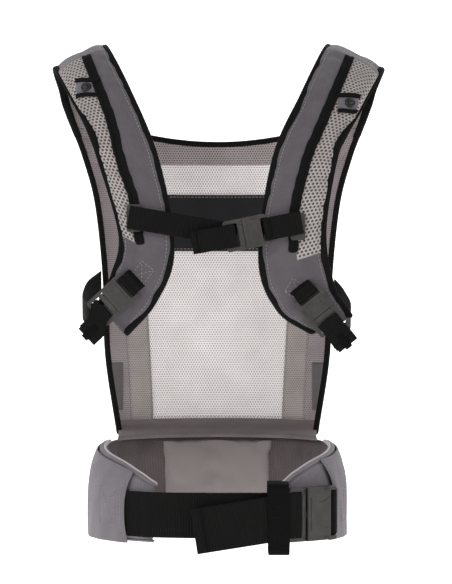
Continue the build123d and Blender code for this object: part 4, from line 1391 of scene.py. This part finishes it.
def roundedBox(x0, x1, y0, y1, radius, steps=5):
    corners = [(x1 - radius, y1 - radius, 0), (x0 + radius, y1 - radius, 90), (x0 + radius, y0 + radius, 180),
               (x1 - radius, y0 + radius, 270)]
    points = []
    for cx, cy, turn in corners:
        for s in range(steps + 1):
            a = math.radians(turn + 90 * s / steps)
            points.append((cx + radius * math.cos(a), cy + radius * math.sin(a)))
    return points


def makeBuckle(name, size, femaleBody, maleBody):
    s = hardware[size]

    def place(x, y, z):
        return inBuckle(name, x, y, z)

    female = fromCad(f"{name}BuckleFemale", f"{name}_buckle_female", bucklePlastic, hardware["bevel"])
    top = s["thick"] / 2
    half, long = s["half"], s["female"]
    slotEnd = -long + s["bar"] + s["slot"]
    # raised rim round the mouth, a waisted pad on the body and gripping ridges by the side windows
    trims = [raisedShape(roundedBox(-2.6, -0.3, -half + 1.2, half - 1.2, 1.0), top - 0.3, top + 0.55, place,
                         bucklePlastic)]
    padFrom, padTo, padHalf, waist = slotEnd + 3.0, -5.0, half * 0.62, half * 0.42
    waisted = [(padFrom + t * (padTo - padFrom), padHalf - (padHalf - waist) * math.sin(math.pi * t))
               for t in (0.25, 0.5, 0.75)]
    pad = [(padFrom, -padHalf), (padFrom, padHalf)] + waisted + [(padTo, padHalf), (padTo, -padHalf)]
    pad += [(x, -y) for x, y in waisted[::-1]]
    trims.append(raisedShape(pad[::-1], top - 0.3, top + 0.5, place, bucklePlastic, 0.45))
    for side in (-1, 1):
        ends = sorted((side * (half - 4.6), side * (half - 1.0)))
        for k in range(hardware["ridges"]):
            x = slotEnd + 3.4 + k * 1.9
            trims.append(raisedShape(roundedBox(x, x + 0.95, ends[0], ends[1], 0.4, 3), top - 0.3, top + 0.45,
                                     place, bucklePlastic, 0.25))
    female = joined(f"{name}BuckleFemale", [female] + trims)
    settle(female, femaleBody, [f"{name}_buckle_female"])

    male = fromCad(f"{name}BuckleMale", f"{name}_buckle_male", bucklePlastic, hardware["bevel"] * 0.8)
    plate = s["plate"] / 2
    outer = s["base"] + s["slot"] + s["bar"] + s["slot"]
    trims = [raisedShape(roundedBox(1.2, s["base"] - 0.9, -half + 6.5, half - 6.5, 1.1), plate - 0.3,
                         plate + 0.5, place, bucklePlastic)]
    for k in range(3):
        x = outer + 0.35 + k * 0.95
        trims.append(raisedShape(roundedBox(x, x + 0.5, -half + 5, half - 5, 0.22, 2), plate - 0.3,
                                 plate + 0.35, place, bucklePlastic, 0.2))
    male = joined(f"{name}BuckleMale", [male] + trims)
    settle(male, maleBody, [f"{name}_buckle_male"])
    for letter in "ab":
        prong = fromCad(f"{name}Prong_{letter}", f"{name}_prong_{letter}", bucklePlastic, 0.4 * mm)
        settle(prong, f"{name}_prong_{letter}", [f"{name}_prong_{letter}"])


makeBuckle("waist", "wide", "carrier", "waist_male")
makeBuckle("chest", "narrow", "chest_right", "chest_male")
makeBuckle("shoulder_left", "narrow", "carrier", "shoulder_male_left")
makeBuckle("shoulder_right", "narrow", "carrier", "shoulder_male_right")
for sliderSide in straps:
    slider = fromCad(f"chestSlider_{sliderSide}", f"chest_slider_{sliderSide}", bucklePlastic, 0.5 * mm)
    settle(slider, f"chest_{sliderSide}", [f"chest_slider_{sliderSide}"])
print("buckles and sliders made")


def makeAnchor(side):
    # webbing from the strap's end to its buckle
    name = f"shoulder_{side}"
    made = straps[side]
    path = [inBuckle(name, x, 0, z) for x, z in ((-27.3, 1.9), (-30, 2.6), (-34, 3.4))]
    on = [inBuckle(name, x, 0, 6) for x in (-39, -44, -49)]
    placed = made["surface"].lay(on, -4.0 * mm)[0]       # sewn inside the strap's end
    line = smoothLine(path + list(placed), 30)
    upright = buckles[name]["across"]
    outward = unit(np.cross(alongLine(line), upright))
    if np.mean(outward[:, 1]) > 0:
        outward = -outward
    strip = sweep("anchorStrip", line, upright, outward, webbing["narrow"], webbing["thick"], blackWebbing,
                  9, 16)
    turn = foldRound("anchorTurn", name, -27, -23.8, webbing["narrow"], blackWebbing)
    settle(joined(f"anchorWebbing_{side}", [strip, turn]), "carrier",
           [f"anchor_webbing_{side}"])


def makeRoll(side):
    # spare webbing rolled up tight and held by an elastic band, and the turn round the ladder
    name = f"shoulder_{side}"
    aside = 9.0 if side == "left" else 0.0
    turn = foldRound("rollTurn", name, 10.9, 14.1, webbing["narrow"], blackWebbing)
    b = buckles[name]
    steps, turns = 150, 3.4
    centreX, path = 35.4, []
    for k in range(steps):
        t = k / (steps - 1)
        a = 2 * math.pi * turns * t + 1.2
        grow = 0.10 + 0.90 * t
        path.append(b["at"] + (b["pull"] * (centreX + 11.6 * grow * math.cos(a)) + b["across"] * aside
                               + b["face"] * 5.0 * grow * math.sin(a)) * mm)
    path = np.array(path)
    outs = unit(np.cross(alongLine(path), b["across"]))
    wander = (0.7 * mm * np.sin(np.linspace(0, 9, steps)))[:, None] * b["across"]
    coil = sweep("coil", path + wander, b["across"], outs, webbing["narrow"], 1.35 * mm, blackWebbing, 9, 14)
    lead = np.array([inBuckle(name, x, aside * share, z)
                     for x, share, z in ((9.5, 0, 3.9), (14, 0, 4.0), (19, 0.2, 4.1), (24, 0.6, 4.9),
                                         (30, 0.95, 5.6), (36, 1, 5.7))])
    line = smoothLine(lead, 40)
    outward = unit(np.cross(alongLine(line), b["across"]))
    strip = sweep("lead", line, b["across"], outward, webbing["narrow"], 1.4 * mm, blackWebbing, 9, 14)
    settle(joined(f"webbingRoll_{side}", [turn, coil, strip]), f"shoulder_male_{side}",
           [f"webbing_roll_{side}"])
    loop = []
    for k in range(49):
        a = 2 * math.pi * k / 48
        sx = np.sign(math.cos(a)) * abs(math.cos(a)) ** 0.8
        sz = np.sign(math.sin(a)) * abs(math.sin(a)) ** 0.8
        loop.append(inBuckle(name, centreX + 12.6 * sx, aside, 6.3 * sz))
    loop = np.array(loop)
    outs = unit(np.cross(alongLine(loop), b["across"]))
    band = sweep(f"rollBand_{side}", loop, b["across"], outs, 8 * mm, 0.9 * mm, blackElastic, 8, 12,
                 caps=False)
    settle(band, f"shoulder_male_{side}")


def makeSideWebbing(side):
    # webbing from the buckle's ladder round the wearer's side to the panel's edge
    name = f"shoulder_{side}"
    sign = straps[side]["sign"]
    end = inBuckle(name, 22.2)
    out = abs(end[0])
    drop, rise = (0.0, 12) if side == "left" else (0.0105, 17)
    middle = end[2] - drop
    plan = [(out, -0.1152), (out + 0.010, -0.107), (out + 0.016, -0.084), (0.150, -0.030), (0.146, 0.020),
            (0.137, 0.066)]
    line = [(sign * x, y) for x, y in plan]
    piece = ribbonAlong("sideStrip", line, middle, webbing["narrow"], blackWebbing, (rise, 0),
                        (sign * out, -0.118, middle), count=70)
    settle(piece, "carrier", [f"side_webbing_{side}"])
    piece.name = f"sideWebbing_{side}"


def makeSafetyLoop():
    # elastic loop that the tail and the buckle's long end pass through
    low, high = (np.array(v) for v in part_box("waist_safety_loop"))
    x = (low[0] + high[0]) / 2
    corners = [(low[1] + 0.0012, low[2] + 0.0012), (high[1] - 0.0012, high[2] - 0.0012)]
    (y0, z0), (y1, z1) = corners
    outline = roundedBox(y0, y1, z0, z1, 0.005, 6)
    dense = []
    for k in range(len(outline)):
        p, q = np.array(outline[k]), np.array(outline[(k + 1) % len(outline)])
        for t in np.linspace(0, 1, max(2, int(np.linalg.norm(q - p) / 0.004) + 1))[:-1]:
            dense.append(p * (1 - t) + q * t)
    loop = np.array([(x + 0.0006 * math.sin(z * 70), y, z) for y, z in dense])
    loop = np.vstack([loop, loop[:1]])
    out = unit(np.cross(alongLine(loop), (1, 0, 0)))
    piece = sweep("waistSafetyLoop", loop, (1, 0, 0), out, 23 * mm, 1.6 * mm, blackElastic, 8, 16, caps=False)
    settle(piece, "carrier", ["waist_safety_loop"])


for webSide in straps:
    makeAnchor(webSide)
    makeRoll(webSide)
    makeSideWebbing(webSide)
makeSafetyLoop()
print("shoulder webbing and safety loop made")


print("scene complete")
